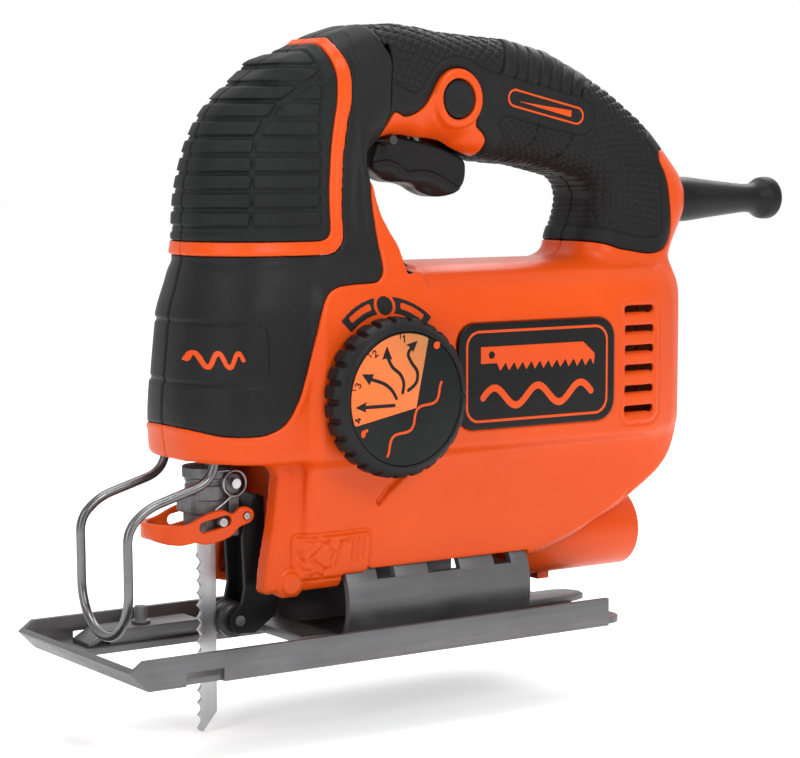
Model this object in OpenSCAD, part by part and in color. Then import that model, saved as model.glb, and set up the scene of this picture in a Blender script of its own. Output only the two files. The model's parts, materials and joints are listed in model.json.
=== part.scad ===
// Corded jigsaw with a tilting sole, a dial, a guide roller and a lever clamp for the blade.
// Millimetres. Z is up from the underside of the sole, -X is the cutting direction,
// and the blade's axis stands at x = 0, y = 0. The two housing halves meet at y = 0.

/* [Sole] */
// Length of the sole along its rails
sole_len = 178; // [150:1:200]
// Width over the rails
sole_w = 78.4; // [70:0.2:90]
// Height of the folded rails
rail_h = 9.5; // [7:0.5:12]
// Thickness of the sheet that the sole is pressed from
sheet = 2; // [1.5:0.1:2.5]
// Width of the window that the blade works in
window_w = 34; // [33:0.5:40]

/* [Bevel] */
// Height of the axis that the sole tilts about
bevel_z = 14; // [13:0.5:15]
// Outer radius of the saddle
saddle_r = 24.5; // [23.5:0.1:25]
// Gap between the saddle and its seat in the housing
saddle_gap = 0.3; // [0.25:0.05:0.5]

/* [Housing] */
// Wall thickness of the mouldings
wall = 2.8; // [2.2:0.1:3.2]
// Half width of the motor body
body_half = 32; // [31:0.5:33]
// Half width of the handle
grip_half = 18.5; // [17:0.5:20]
// Radius of the arched top of the handle
crown_r = 145; // [143:0.5:147]

/* [Motor and gears] */
// Height of the motor shaft
motor_z = 93; // [92:0.5:94]
// Outer radius of the stator
stator_r = 27; // [25:0.5:28]
// Radius of the armature core
core_r = 17.5; // [15:0.5:18]
// Radius of the motor shaft
shaft_r = 4; // [3.5:0.1:4]
// Gear module
gear_m = 0.8; // [0.8:0.05:0.8]
// Teeth on the motor pinion
pinion_n = 10; // [10:1:10]
// Teeth on the crank gear
gear_n = 60; // [60:1:60]
// Radius of the crank, half of the blade's stroke
crank_r = 9; // [8:0.5:9]

/* [Plunger and blade] */
// Radius of the plunger rod
rod_r = 3.5; // [3:0.1:3.6]
// How far the rod's axis stands behind the blade's
rod_x = 3; // [2.5:0.1:3.2]
// Radial running gap of the rod in its bushings
rod_gap = 0.04; // [0.02:0.01:0.08]
// Width of the blade
blade_w = 7.2; // [6:0.1:8]
// Thickness of the blade
blade_t = 1.4; // [1:0.1:1.5]
// Pitch of the blade's teeth
tooth_p = 4; // [2.5:0.1:5]

/* [Guard and dust port] */
// Diameter of the guard's wire
guard_wire = 3.1; // [2.5:0.1:3.5]
// Half of the distance between the guard's legs
guard_half = 16; // [15.5:0.5:17]
// Outer radius of the dust port
port_r = 14; // [13:0.5:14.5]
// Radius of the hose socket in the dust port
socket_r = 11.5; // [10:0.5:12]

/* [Dial and trigger] */
// Radius of the dial over its grip rim
dial_r = 26; // [24:0.5:27]
// Radius of the dial's face
dial_face_r = 21.4; // [19:0.2:22]
// Number of grip lugs round the dial
dial_lugs = 26; // [18:1:36]
// Radius of the lock button
lock_r = 6.5; // [5.5:0.1:7]

/* [Cord guard] */
// Radius of the cord guard where it leaves the housing
cordg_r1 = 8.15; // [7:0.1:9]
// Radius of its neck
cordg_r2 = 5.2; // [5:0.1:6]
// Radius of its flared end
cordg_r3 = 7.9; // [7:0.1:9]
// Radius of the bore for the cord
cord_bore = 3.5; // [3:0.1:3.8]

/* [Node] */
// Sub-part to draw, or all

/* [Hidden] */
$fn = 48;
seam = 0.05;
sole_x0 = -43;
sole_x1 = sole_x0 + sole_len;
sole_half = sole_w / 2;
// Height of the lip's edge, and the tail of the plate
lip_h = 6.1;
tail_x = sole_x1 + 10;
tail_half = 37;
tail_r = 8;
crank_z = motor_z + gear_m * (pinion_n + gear_n) / 2;
dial_x = 49.2;
dial_z = 83.4;
// The dial stands on the flank, and its disc is sunk a little in its front
dial_back = body_half + 1.15;
dial_front = dial_back + 9.1;
lock_x = 86.5;
lock_z = 179;
cord_z = 144.3;
guard_end = 243.4;
port_z = 27;
port_x0 = 119;
port_x1 = 169;
arm_x = 18.2;
arm_z = 23.9;
roller_x = 8;
roller_z = 10.6;
stud_x = -11.5;
stud_y = 24.6;
lever_x = 8.1;
lever_z = 45.5;
// Centre of the round front of the lever
loop_x = -11.3;

// ---- helpers ----------------------------------------------------------------

// 2D (x, z) drawn through y0..y1, 2D (y, z) through x0..x1, 2D (x, y) through z0..z1
module side(y0, y1) translate([0, y1, 0]) rotate([90, 0, 0]) linear_extrude(y1 - y0) children();
module section(x0, x1) translate([x0, 0, 0]) rotate([90, 0, 90]) linear_extrude(x1 - x0) children();
module plan(z0, z1) translate([0, 0, z0]) linear_extrude(z1 - z0) children();
module cyl_x(x0, x1, r, y, z) translate([x0, y, z]) rotate([0, 90, 0]) cylinder(h = x1 - x0, r = r);
module cyl_y(y0, y1, r, x, z) translate([x, y0, z]) rotate([-90, 0, 0]) cylinder(h = y1 - y0, r = r);
module cyl_z(z0, z1, r, x, y) translate([x, y, z0]) cylinder(h = z1 - z0, r = r);
module box(a, b) translate(a) cube(b - a);
module ring_x(x0, x1, ro, ri, y, z) difference() {
  cyl_x(x0, x1, ro, y, z);
  cyl_x(x0 - 1, x1 + 1, ri, y, z);
}
module ring_y(y0, y1, ro, ri, x, z) difference() {
  cyl_y(y0, y1, ro, x, z);
  cyl_y(y0 - 1, y1 + 1, ri, x, z);
}
module ring_z(z0, z1, ro, ri, x, y) difference() {
  cyl_z(z0, z1, ro, x, y);
  cyl_z(z0 - 1, z1 + 1, ri, x, y);
}
module both() { children(); mirror([0, 1, 0]) children(); }

function unit(v) = v / norm(v);
function left_of(v) = [-v[1], v[0]];
// Every edge of a counterclockwise outline moved inwards by d
function inset(p, d) = [for (i = [0:len(p) - 1]) let (
    n = len(p),
    a = left_of(unit(p[i] - p[(i + n - 1) % n])),
    b = left_of(unit(p[(i + 1) % n] - p[i])))
  p[i] + d * (a + b) / (1 + a * b)];
// An outline that is the same on both sides of its second axis
function twin(p) = concat(p, [for (i = [len(p) - 1:-1:0]) [-p[i][0], p[i][1]]]);

// Involute teeth
function inv(a) = tan(a) * 180 / PI - a;
function gear_points(n, m, thin, add, ded) = let (
    al = 25, r = n * m / 2, rb = r * cos(al), ra = r + add * m, rr = r - ded * m,
    half = (PI * m / 2 - thin) / 2 / r * 180 / PI,
    lo = max(rb, rr), k = 4,
    rad = [for (i = [0:k]) lo + (ra - lo) * i / k],
    ang = [for (q = rad) half + inv(al) - inv(acos(min(1, rb / q)))])
  [for (t = [0:n - 1]) let (c = 360 * t / n)
    each concat([rr * [cos(c - ang[0]), sin(c - ang[0])]],
      [for (i = [0:k]) rad[i] * [cos(c - ang[i]), sin(c - ang[i])]],
      [for (i = [k:-1:0]) rad[i] * [cos(c + ang[i]), sin(c + ang[i])]],
      [rr * [cos(c + ang[0]), sin(c + ang[0])]])];

// ---- housing outlines -------------------------------------------------------

body_outline = [[24, 24], [48, 22.8], [116, 22.8], [119.6, 24.3], [134.5, 29.7], [152, 38],
  [164, 45.5], [179, 57], [183.5, 68], [183.5, 118], [180, 123], [174, 126], [24, 126]];
body_section = twin([[21.5, 22.8], [23, 30], [24.3, 40], [26.8, 58], [28, 63.5], [31, 68],
  [body_half, 73], [body_half, 106], [30.6, 114], [26.5, 120.5], [18, 124.4], [8, 126]]);
body_plan = [[0, -40], [150, -34.5], [166, -32], [175, -28.5], [181, -22.5], [183.6, -13],
  [183.6, 13], [181, 22.5], [175, 28.5], [166, 32], [150, 34.5], [0, 40]];
head_outline = [[-13.2, 64.4], [14.5, 63.2], [66, 63.2], [66, 122], [63.4, 126], [58.4, 131.5],
  [55.5, 135.7], [52.5, 141], [50.3, 148], [49.2, 155], [49.2, 178], [30, 191], [22.5, 190], [13.4, 183.8],
  [5.6, 178.4], [1.3, 173], [-3.1, 161.6], [-5.5, 150.2], [-6.3, 140], [-6.4, 131],
  [-8.3, 121.2], [-12.2, 110.9], [-14.7, 88.3], [-15.2, 79]];
head_section = twin([[28.2, 60], [30, 68], [30, 118], [28, 127], [26, 137], [24.5, 150],
  [22.5, 162], [19.5, 173], [17.5, 184], [13, 194], [7, 203]]);
// Distance of the nose from the vertical line x = 20, at each height
nose = [[0, 60], [33.6, 60], [35.2, 79], [34.7, 88.3], [32.2, 110.9], [28.3, 121.2],
  [26.4, 131], [26.3, 140], [25.5, 150.2], [23.1, 161.6], [18.7, 173], [14.4, 178.4],
  [9, 187], [0, 194]];
grip_outline = [[30, 158], [52, 158], [57, 163], [62, 166.8], [69.3, 167], [84.7, 164.2],
  [97.7, 159.6], [108.6, 157.6], [123, 156.6], [134.7, 154.2], [143.6, 152.4], [147.4, 149],
  [148.4, 145.2], [147.2, 139.6], [144.2, 133], [143, 126], [141, 116], [182, 116],
  [185, 128], [188.5, 135.3], [191, 141], [190.9, 148.7], [187.6, 155.4], [179.4, 164.5],
  [170.4, 173.5], [156.5, 183.3], [143, 190.7], [129.7, 196.7], [112.5, 200.4],
  [83.3, 202.4], [66.3, 204.4], [53.3, 203.4], [42.8, 200.2], [22.5, 190], [13.4, 183.8], [9, 177],
  [18, 168]];
crown_half = [[0, 1], [110, 1], [124, 0.985], [132, 0.93], [138, 0.8], [142, 0.6],
  [144.2, 0.38], [145, 0.2]];

// The outside of the whole housing, or its inside when g is the wall
module housing_solid(g) {
  // Motor body
  intersection() {
    side(-50, 50) polygon(inset(body_outline, g));
    section(0, 200) polygon(inset(body_section, g));
    plan(0, 300) polygon(inset(body_plan, g));
  }
  // Head, with a turned nose
  intersection() {
    side(-50, 50) polygon(inset(head_outline, g));
    section(-50, 100) polygon(inset(head_section, g));
    union() {
      translate([20, 0, 0]) rotate_extrude() polygon([for (p = nose) [max(0, p[0] - g), p[1]]]);
      box([20, -40, 50], [60, 40, 210]);
    }
  }
  // Handle, with an arched and rounded top
  intersection() {
    side(-50, 50) polygon(inset(grip_outline, g));
    translate([84, 0, 60]) rotate([90, 0, 0]) rotate_extrude() polygon(concat(
      [for (p = crown_half) [p[0] * crown_r / 145 - (p[0] > 0 ? g : 0), -p[1] * grip_half + (p[1] > 0.3 ? g : g * 0.4)]],
      [for (i = [len(crown_half) - 1:-1:0]) let (p = crown_half[i])
        [p[0] * crown_r / 145 - (p[0] > 0 ? g : 0), p[1] * grip_half - (p[1] > 0.3 ? g : g * 0.4)]]));
  }
  // Leg in front of the saddle, carrying the pivot of the roller's arm
  side(-20.5 + g, 20.5 - g) polygon(inset([[9.2, 20.5], [40, 20.5], [48, 24], [52, 70], [10, 70],
    [15.2, 59.4], [13, 43.3], [9.8, 29.1]], g));
}

// The hollow inside, which leaves walls over the saddle, the dust port and behind the arm,
// and the ribs that hold the motor
module hollow() difference() {
  housing_solid(wall);
  cyl_x(36, 115.5, saddle_r + saddle_gap + 2.5, 0, bevel_z);
  cyl_x(112, 165, port_r + 2.5, 0, port_z);
  box([24.2, -22, 15], [26.8, 22, 62]);
  for (x = [66, 100]) difference() {
    box([x, -34, 60], [x + 2, 34, 124]);
    cyl_x(x - 1, x + 3, stator_r + 0.03, 0, motor_z);
  }
  difference() {
    box([133.4, -34, motor_z - 14], [141, 34, motor_z + 14]);
    cyl_x(133.9, 142, 9.53, 0, motor_z);
    cyl_x(130, 142, 7, 0, motor_z);
  }
  // Tunnel of the rear screws and the seat of the cord guard's flange
  difference() {
    box([177.5, -34, 130], [186.5, 34, 160]);
    cyl_x(179.9, 184.1, 9.6, 0, cord_z);
    cyl_x(170, 190, 6.7, 0, cord_z);
  }
}

// What is cut from every moulding: the hollow, the saddle's seat and the openings
module housing_cuts() {
  hollow();
  // Channel of the roller's arm, and the way down for the plunger
  box([-12, -13.5, 15], [24.2, 13.5, 66]);
  box([-10, -14, 60], [13, 14, 73]);
  // Seat of the saddle
  cyl_x(38, 113, saddle_r + saddle_gap, 0, bevel_z);
  for (x = [54.2, 101.7]) cyl_z(30, 50, 2.45, x, 0);
  // Dust port
  cyl_x(112, 200, port_r + 0.05, 0, port_z);
  // Mouth for the trigger
  box([60.5, -7.4, 140], [101.5, 7.4, 172]);
  // Bores of the lock button and of the arm's pivot
  cyl_y(-50, 0, lock_r + 0.3, lock_x, lock_z);
  cyl_y(-50, 50, 2.55, arm_x, arm_z);
  cyl_y(-12.4, 12.4, 1.52, 64.2, 165.5);
  // Shaft of the dial
  cyl_y(-50, -20, 4.55, dial_x, dial_z);
  // Cord guard
  cyl_x(170, 200, cordg_r1 - 1.5, 0, cord_z);
  // Legs of the wire guard
  guard_path(guard_wire / 2 + 0.05);
  // Air inlets at the rear
  both() for (z = [72.3, 79.3, 86.5, 93.3, 100, 107])
    box([147, -45, z - 1.5], [162, -24, z + 1.5]);
  // Screws, put in from the right
  for (s = screws) cyl_y(-s[2] + 5, 50, 2.05, s[0], s[1]);
  for (s = screws) cyl_y(s[2] - 3.4, 50, 3.8, s[0], s[1]);
}

// Position of each housing screw and how far its head is from the seam
screws = [[168, 62, 30], [176, 112, 26], [128, 116, 29], [31, 44, 20], [152, 172, 17], [44, 188, 15]];

// Side views of the black mouldings
cover_region = [[-40, 77.5], [-7, 73], [2.5, 73], [11, 76], [17, 84], [20, 94], [24, 107],
  [26, 115], [31.5, 119], [46.7, 120], [52, 120.8], [53.7, 124], [50.9, 136], [49.8, 142.8],
  [49.2, 149.5], [50, 156], [60, 158], [60, 198], [47, 206], [25.5, 206],
  [25.5, 197], [31.7, 192.6], [35, 186], [36, 176], [34, 166], [32, 153], [32.7, 143],
  [32.7, 133], [27, 129.5], [-40, 129.5]];
pad_region = [[-40, 134], [23.7, 134], [28.2, 136.6], [28, 150], [29.3, 163], [31.3, 175],
  [30.5, 184], [26.2, 192], [20.8, 195], [10, 210], [-40, 210]];
grip_region = [[60, 150], [100, 150], [127.8, 130.6], [135.8, 131.3], [148.9, 129.6],
  [161, 126.6], [173.3, 126.3], [178.8, 131.8], [177.3, 148.9], [173.5, 158.4],
  [181, 166], [181, 215], [47, 215], [47, 206], [60, 198]];
bezel_region = [[56, 160], [58, 172.6], [69.4, 174], [77, 182.4], [83.8, 189], [90, 189],
  [96.5, 181], [95.2, 171], [99, 165], [99.5, 150], [56, 150]];

module shell() difference() { housing_solid(0); housing_cuts(); }
module through(p) side(-60, 60) polygon(p);
module left() box([-80, -60, -10], [280, -seam, 260]);
module right() box([-80, seam, -10], [280, 60, 260]);
// The bezel's region stops short of the handle's top
module bezel_space() through(bezel_region);

module black_parts() {
  through(cover_region);
  through(pad_region);
  through(grip_region);
}

module housing_half(s) color([0.95, 0.36, 0.13]) {
  difference() {
    intersection() {
      difference() { shell(); black_parts(); }
      if (s < 0) left(); else right();
    }
    if (s < 0) badge_space();
  }
  // Boss for the pivot of the arm
  scale([1, -s, 1]) difference() {
    cyl_y(-21.4, -17.8, 5, arm_x, arm_z);
    cyl_y(-30, -10, 2.55, arm_x, arm_z);
  }
}
module housing_left() housing_half(-1);
module housing_right() housing_half(1);

module front_cover() color([0.17, 0.17, 0.17]) difference() {
  intersection() { shell(); through(cover_region); }
}
module head_pad() color([0.15, 0.16, 0.16]) intersection() { shell(); through(pad_region); }
module handle_grip() color([0.15, 0.16, 0.16]) difference() {
  intersection() { shell(); through(grip_region); }
  bezel_space();
}
module trigger_bezel() color([0.95, 0.36, 0.13]) intersection() {
  difference() {
    intersection() { shell(); through(grip_region); }
    box([50, -60, 188.6], [110, 60, 230]);
  }
  bezel_space();
}
module rounded(x0, x1, z0, z1, r) {
  translate([x0 + r, z0]) square([x1 - x0 - 2 * r, z1 - z0]);
  translate([x0, z0 + r]) square([x1 - x0, z1 - z0 - 2 * r]);
  for (x = [x0 + r, x1 - r], z = [z0 + r, z1 - r]) translate([x, z]) circle(r = r);
}
module badge_space() side(-40, -body_half + 0.8) rounded(76, 142, 70, 105.5, 7);
module badge_plate() color([0.13, 0.13, 0.13])
  side(-body_half - 0.8, -body_half + 0.8) rounded(76.05, 141.95, 70.05, 105.45, 6.95);

module housing_screws() color([0.45, 0.45, 0.47]) for (s = screws) difference() {
  union() {
    cyl_y(s[2] - 3.3, s[2] - 0.2, 3.6, s[0], s[1]);
    cyl_y(-s[2] + 6, s[2] - 3.3, 2, s[0], s[1]);
  }
  cyl_y(s[2] - 1.6, s[2] + 1, 1.7, s[0], s[1]);
}

// ---- inside the housing -----------------------------------------------------

module gear_case() color([0.68, 0.69, 0.7]) difference() {
  union() {
    section(25, 28.5) polygon(twin([[14, 70], [23, 78], [24, 96], [24, 118], [19, 132], [12, 146]]));
    cyl_x(28.5, 38, 13.5, 0, motor_z);
    // Arms that hold the bushings, the lower one with the ends of the wire guard
    plan(73.5, 77.5) polygon([[-8, -12], [-4.5, -17.9], [26, -17.9], [26, 17.9], [-4.5, 17.9], [-8, 12]]);
    cyl_z(73.5, 83, 7.8, rod_x, 0);
    box([14, -7, 138], [26, 7, 145]);
    box([4, -5.5, 138], [14.2, 5.5, 145]);
  }
  cyl_x(30.5, 40, 11.05, 0, motor_z);
  cyl_x(20, 40, 6.5, 0, motor_z);
  cyl_x(20, 40, 3.02, 0, crank_z);
  cyl_z(60, 160, 5.55, rod_x, 0);
  guard_path(guard_wire / 2 + 0.05);
  // Room for the gear
  box([9, -30, 95], [25, 30, 137.9]);
  box([11, -30, 83.5], [25, 30, 100]);
  cyl_x(13, 24.9, 24.9, 0, crank_z);
}
module gear_spindle() color([0.75, 0.75, 0.77]) union() {
  cyl_x(14.3, 30, 3, 0, crank_z);
  cyl_x(28.55, 30, 4.5, 0, crank_z);
}
module rod_bushings() color([0.72, 0.55, 0.3]) {
  ring_z(73, 84, 5.5, rod_r + rod_gap, rod_x, 0);
  ring_z(138, 145, 5.5, rod_r + rod_gap, rod_x, 0);
}
module bearing(x0, x1, ro, ri) {
  ring_x(x0, x1, ro, ro - 2, 0, motor_z);
  ring_x(x0, x1, ri + 1.8, ri, 0, motor_z);
  ring_x(x0 + 0.8, x1 - 0.8, ro - 1.9, ri + 1.7, 0, motor_z);
}
module front_bearing() color([0.75, 0.75, 0.78]) bearing(30.6, 37.6, 11, shaft_r + 0.03);
module rear_bearing() color([0.75, 0.75, 0.78]) bearing(134, 140, 9.5, 3.53);

module stator_core() color([0.5, 0.5, 0.53]) difference() {
  cyl_x(62, 106, stator_r, 0, motor_z);
  cyl_x(61, 107, 18.4, 0, motor_z);
  both() box([61, 16.9, motor_z - 7], [107, 22.5, motor_z + 7]);
  for (s = [-1, 1]) translate([0, 0, motor_z + s * 22.4]) box([61, -8, -2.6], [107, 8, 2.6]);
}
module field_coils() color([0.72, 0.36, 0.14]) for (s = [-1, 1])
  translate([0, 0, motor_z + s * 22.4]) difference() {
    union() {
      box([56.5, -7.9, -2.5], [111.5, 7.9, 2.5]);
      box([56.5, -12, -1.6], [61.5, 12, 1.6]);
      box([106.5, -12, -1.6], [111.5, 12, 1.6]);
    }
  }
module brush_holders() color([0.78, 0.6, 0.25]) both() difference() {
  box([114.5, 12.4, motor_z - 4], [123.5, 27.5, motor_z + 4]);
  box([116.5, 12, motor_z - 2.6], [121.5, 25.5, motor_z + 2.6]);
}
module carbon_brushes() color([0.1, 0.1, 0.1]) both()
  box([116.6, 11.3, motor_z - 2.5], [121.4, 24.5, motor_z + 2.5]);
module fan_baffle() color([0.2, 0.2, 0.2]) difference() {
  section(52.4, 54.4) polygon(twin([[12, 66.3], [24.8, 74], [28.8, 84], [28.8, 104], [22, 117], [10, 122]]));
  cyl_x(50, 56, 19.5, 0, motor_z);
  cyl_y(-40, -20, 6.8, dial_x, dial_z);
}
module switch_module() color([0.12, 0.12, 0.13]) difference() {
  union() {
    box([78, -8, 176.5], [104, 8, 192]);
    box([88, -2.5, 174.2], [92, 2.5, 177]);
  }
  cyl_y(-20, 1, 4.4, lock_x, lock_z);
}
module cord_guard() color([0.1, 0.1, 0.1]) difference() {
  translate([0, 0, cord_z]) rotate([0, 90, 0]) rotate_extrude() polygon([[0, 180], [9.5, 180],
    [9.5, 184], [cordg_r1 - 1.6, 184], [cordg_r1 - 1.6, 191.2], [cordg_r1, 191.2], [cordg_r1, 200], [6.4, 219], [cordg_r2, guard_end - 13.4],
    [cordg_r2 + 0.7, guard_end - 10.2], [cordg_r3, guard_end - 6.4], [cordg_r3, guard_end - 2.8],
    [7.2, guard_end - 0.6], [6, guard_end], [0, guard_end]]);
  cyl_x(170, 260, cord_bore, 0, cord_z);
}
module cord_clamp() color([0.2, 0.2, 0.2]) difference() {
  box([168, -10, cord_z - 6], [174, 10, cord_z + 6]);
  cyl_x(160, 180, cord_bore, 0, cord_z);
  for (y = [-7.5, 7.5]) cyl_z(120, 170, 1.5, 171, y);
}

// ---- guard, dust port, pivot ------------------------------------------------

guard_pts = [[-6.3, 75], [-6.3, 60.5], [-11, 57], [-28.8, 52.3], [-35.8, 48], [-37.4, 43], [-37, 25.7]];
module rod_between(a, b, r) {
  v = b - a;
  translate(a) rotate([0, acos(v[2] / norm(v)), atan2(v[1], v[0])]) cylinder(h = norm(v), r = r);
}
module guard_path(r) {
  both() for (i = [0:len(guard_pts) - 2]) {
    a = guard_pts[i];
    b = guard_pts[i + 1];
    rod_between([a[0], guard_half, a[1]], [b[0], guard_half, b[1]], r);
    if (i > 0) translate([a[0], guard_half, a[1]]) sphere(r = r + 0.04);
  }
  both() translate([-37, guard_half, 25.7]) sphere(r = r + 0.04);
  translate([-37, 0, 25.7]) rotate([90, 180, 90]) rotate_extrude(angle = 180)
    translate([guard_half, 0]) circle(r = r);
}
module finger_guard() color([0.45, 0.45, 0.45]) guard_path(guard_wire / 2);

module dust_tube() color([0.95, 0.36, 0.13]) difference() {
  union() {
    cyl_x(port_x0, port_x1, port_r, 0, port_z);
    box([132, -3, 11], [137, 3, 16]);
  }
  cyl_x(port_x0 + 25, port_x1 + 5, socket_r, 0, port_z);
  cyl_x(port_x0 + 2, port_x0 + 26, socket_r + 0.1, 0, port_z);
  cyl_x(port_x0 - 9, port_x0 + 6, 9, 0, port_z + 1);
}
module arm_pivot() color([0.6, 0.6, 0.62]) difference() {
  cyl_y(-21.8, 21.8, 2.5, arm_x, arm_z);
  both() cyl_y(20.8, 25, 1, arm_x, arm_z);
}
module bevel_clamp() color([0.35, 0.35, 0.36]) difference() {
  box([46, -8, 32], [110, 8, 34.2]);
  for (x = [54.2, 101.7]) cyl_z(30, 50, 2.42, x, 0);
}
module bevel_screws() color([0.6, 0.6, 0.62]) for (x = [54.2, 101.7]) difference() {
  union() {
    cyl_z(29.2, 32, 4.2, x, 0);
    cyl_z(32, 45, 2.4, x, 0);
  }
  translate([x, 0, 28]) cylinder(h = 3, r = 2.2, $fn = 6);
}

// ---- armature and crank -----------------------------------------------------

module armature_shaft() color([0.7, 0.7, 0.72]) {
  section(12, 24) translate([0, motor_z]) rotate(90) polygon(gear_points(pinion_n, gear_m, 0.08, 0.8, 1.05));
  cyl_x(24, 41, shaft_r, 0, motor_z);
  cyl_x(41, 132, shaft_r + 0.5, 0, motor_z);
  cyl_x(132, 142, 3.5, 0, motor_z);
}
module armature_core() color([0.45, 0.45, 0.48]) difference() {
  cyl_x(62, 106, core_r, 0, motor_z);
  cyl_x(61, 107, shaft_r + 0.5, 0, motor_z);
  for (a = [0:30:330]) translate([0, 0, motor_z]) rotate([a, 0, 0]) {
    box([61, -1.4, 10], [107, 1.4, core_r - 1.8]);
    box([61, -0.6, core_r - 2], [107, 0.6, core_r + 1]);
  }
}
module armature_windings() color([0.75, 0.38, 0.14]) {
  for (a = [0:30:330]) translate([0, 0, motor_z]) rotate([a, 0, 0])
    box([61.9, -1.3, 10.1], [106.1, 1.3, core_r - 1.9]);
  for (x = [57, 106.1]) ring_x(x, x + 4.9, core_r - 1.5, shaft_r + 1.2, 0, motor_z);
}
module commutator() color([0.78, 0.5, 0.25]) difference() {
  cyl_x(112.5, 126, 11, 0, motor_z);
  cyl_x(110, 130, shaft_r + 0.5, 0, motor_z);
  for (a = [0:15:345]) translate([0, 0, motor_z]) rotate([a, 0, 0])
    box([113.6, -0.3, 9.8], [128, 0.3, 12]);
}
module fan() color([0.15, 0.15, 0.15]) difference() {
  union() {
    ring_x(42, 49.5, 9, shaft_r + 0.5, 0, motor_z);
    ring_x(42, 43.6, 24.5, 8, 0, motor_z);
    for (a = [0:30:330]) translate([0, 0, motor_z]) rotate([a, 0, 0])
      translate([0, 0, 16.2]) rotate([0, 0, 0]) rotate([18, 0, 0]) box([43.4, -0.8, -7.7], [50, 0.8, 7.4]);
  }
}
module crank_gear() color([0.6, 0.6, 0.62]) difference() {
  section(15.2, 22) translate([0, crank_z]) rotate(-90 + 180 / gear_n)
    polygon(gear_points(gear_n, gear_m, 0.1, 0.8, 1.05));
  cyl_x(10, 30, 3.05, 0, crank_z);
  cyl_x(14, 30, 2.5, crank_r, crank_z);
  for (a = [60:60:300]) translate([0, 0, crank_z]) rotate([a, 0, 0]) cyl_x(14, 30, 4.2, 15.5, 0);
}
module crank_pin() color([0.75, 0.75, 0.77]) {
  cyl_x(13.6, 21.5, 2.5, crank_r, crank_z);
  difference() {
    cyl_x(12.8, 15.1, 3.6, crank_r, crank_z);
    cyl_x(11, 13.4, 2, crank_r, crank_z);
  }
}
module counterweight() color([0.5, 0.5, 0.53]) difference() {
  section(22.05, 24.4) translate([0, crank_z]) polygon(concat(
    [for (a = [110:10:250]) 21 * [cos(a), sin(a)]], [[-2, -7], [-2, 7]]));
  cyl_x(20, 26, 6, 0, crank_z);
}

// ---- plunger, clamp and blade -----------------------------------------------

module plunger_rod() color([0.75, 0.75, 0.77]) difference() {
  cyl_z(52, 150.5, rod_r, rod_x, 0);
  cyl_z(140, 152, 1.6, rod_x, 0);
}
module yoke() color([0.5, 0.5, 0.53]) difference() {
  union() {
    box([7, -14.6, crank_z - 6.6], [12.4, 14.6, crank_z + 6.6]);
    cyl_z(crank_z - 6.6, crank_z + 6.6, rod_r + 2.1, rod_x, 0);
  }
  cyl_z(60, 170, rod_r, rod_x, 0);
  box([8.8, -12.8, crank_z - 3.7], [13, 12.8, crank_z + 3.7]);
}
module blade_collar() color([0.5, 0.5, 0.5]) difference() {
  union() {
    cyl_z(46, 61, 7.4, 0, 0);
    cyl_z(57.5, 61.5, 8.2, 0, 0);
    box([-9.4, -4.5, 46.5], [-2, 4.5, 53]);
  }
  cyl_z(52, 70, rod_r, rod_x, 0);
  box([-4.45, -0.75, 45], [3.55, 0.75, 52]);
}
module clamp_block() color([0.3, 0.3, 0.32]) difference() {
  union() {
    box([-5, -7.8, 38.6], [7.6, 7.8, 45.9]);
    both() box([3.5, 5.2, 45.9], [7.6, 7.8, 56]);
    both() cyl_y(5.2, 7.8, 3.3, 5.2, 56);
  }
  box([-4.6, -0.75, 30], [3.6, 0.75, 60]);
  cyl_z(45.9, 70, 7.45, 0, 0);
  cyl_z(57.45, 70, 8.25, 0, 0);
  both() cyl_y(6.6, 9, 1.6, 5.2, 56);
  cyl_y(-20, 20, 1.5, 5.6, 42.6);
}
module clamp_pins() color([0.7, 0.7, 0.72]) {
  cyl_y(-8.6, 8.6, 1.5, 5.6, 42.6);
  both() cyl_y(6.6, 9.9, 1.6, 5.2, 56);
}
module clamp_spring() color([0.6, 0.6, 0.6]) {
  both() ring_y(8.3, 9.4, 4.6, 3.4, 5.2, 56);
}
module blade() color([0.75, 0.76, 0.78]) difference() {
  union() {
    side(-blade_t / 2, blade_t / 2) polygon(concat(
      [[2.8 - blade_w, 37], [-3.9, 38], [-3.9, 51.6], [3.3, 51.6], [3.3, 38], [2.8, 36.5],
        [2.8, -19.3], [-2.3, -25.6], [-2.9, -25]],
      [for (i = [0:13]) let (z = -24 + i * tooth_p) each [[2.8 - blade_w, z], [2.8 - blade_w + 2, z + 2.9]]],
      [[2.8 - blade_w, 32]]));
  }
  cyl_y(-5, 5, 1.4, 0, 48.5);
}
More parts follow.
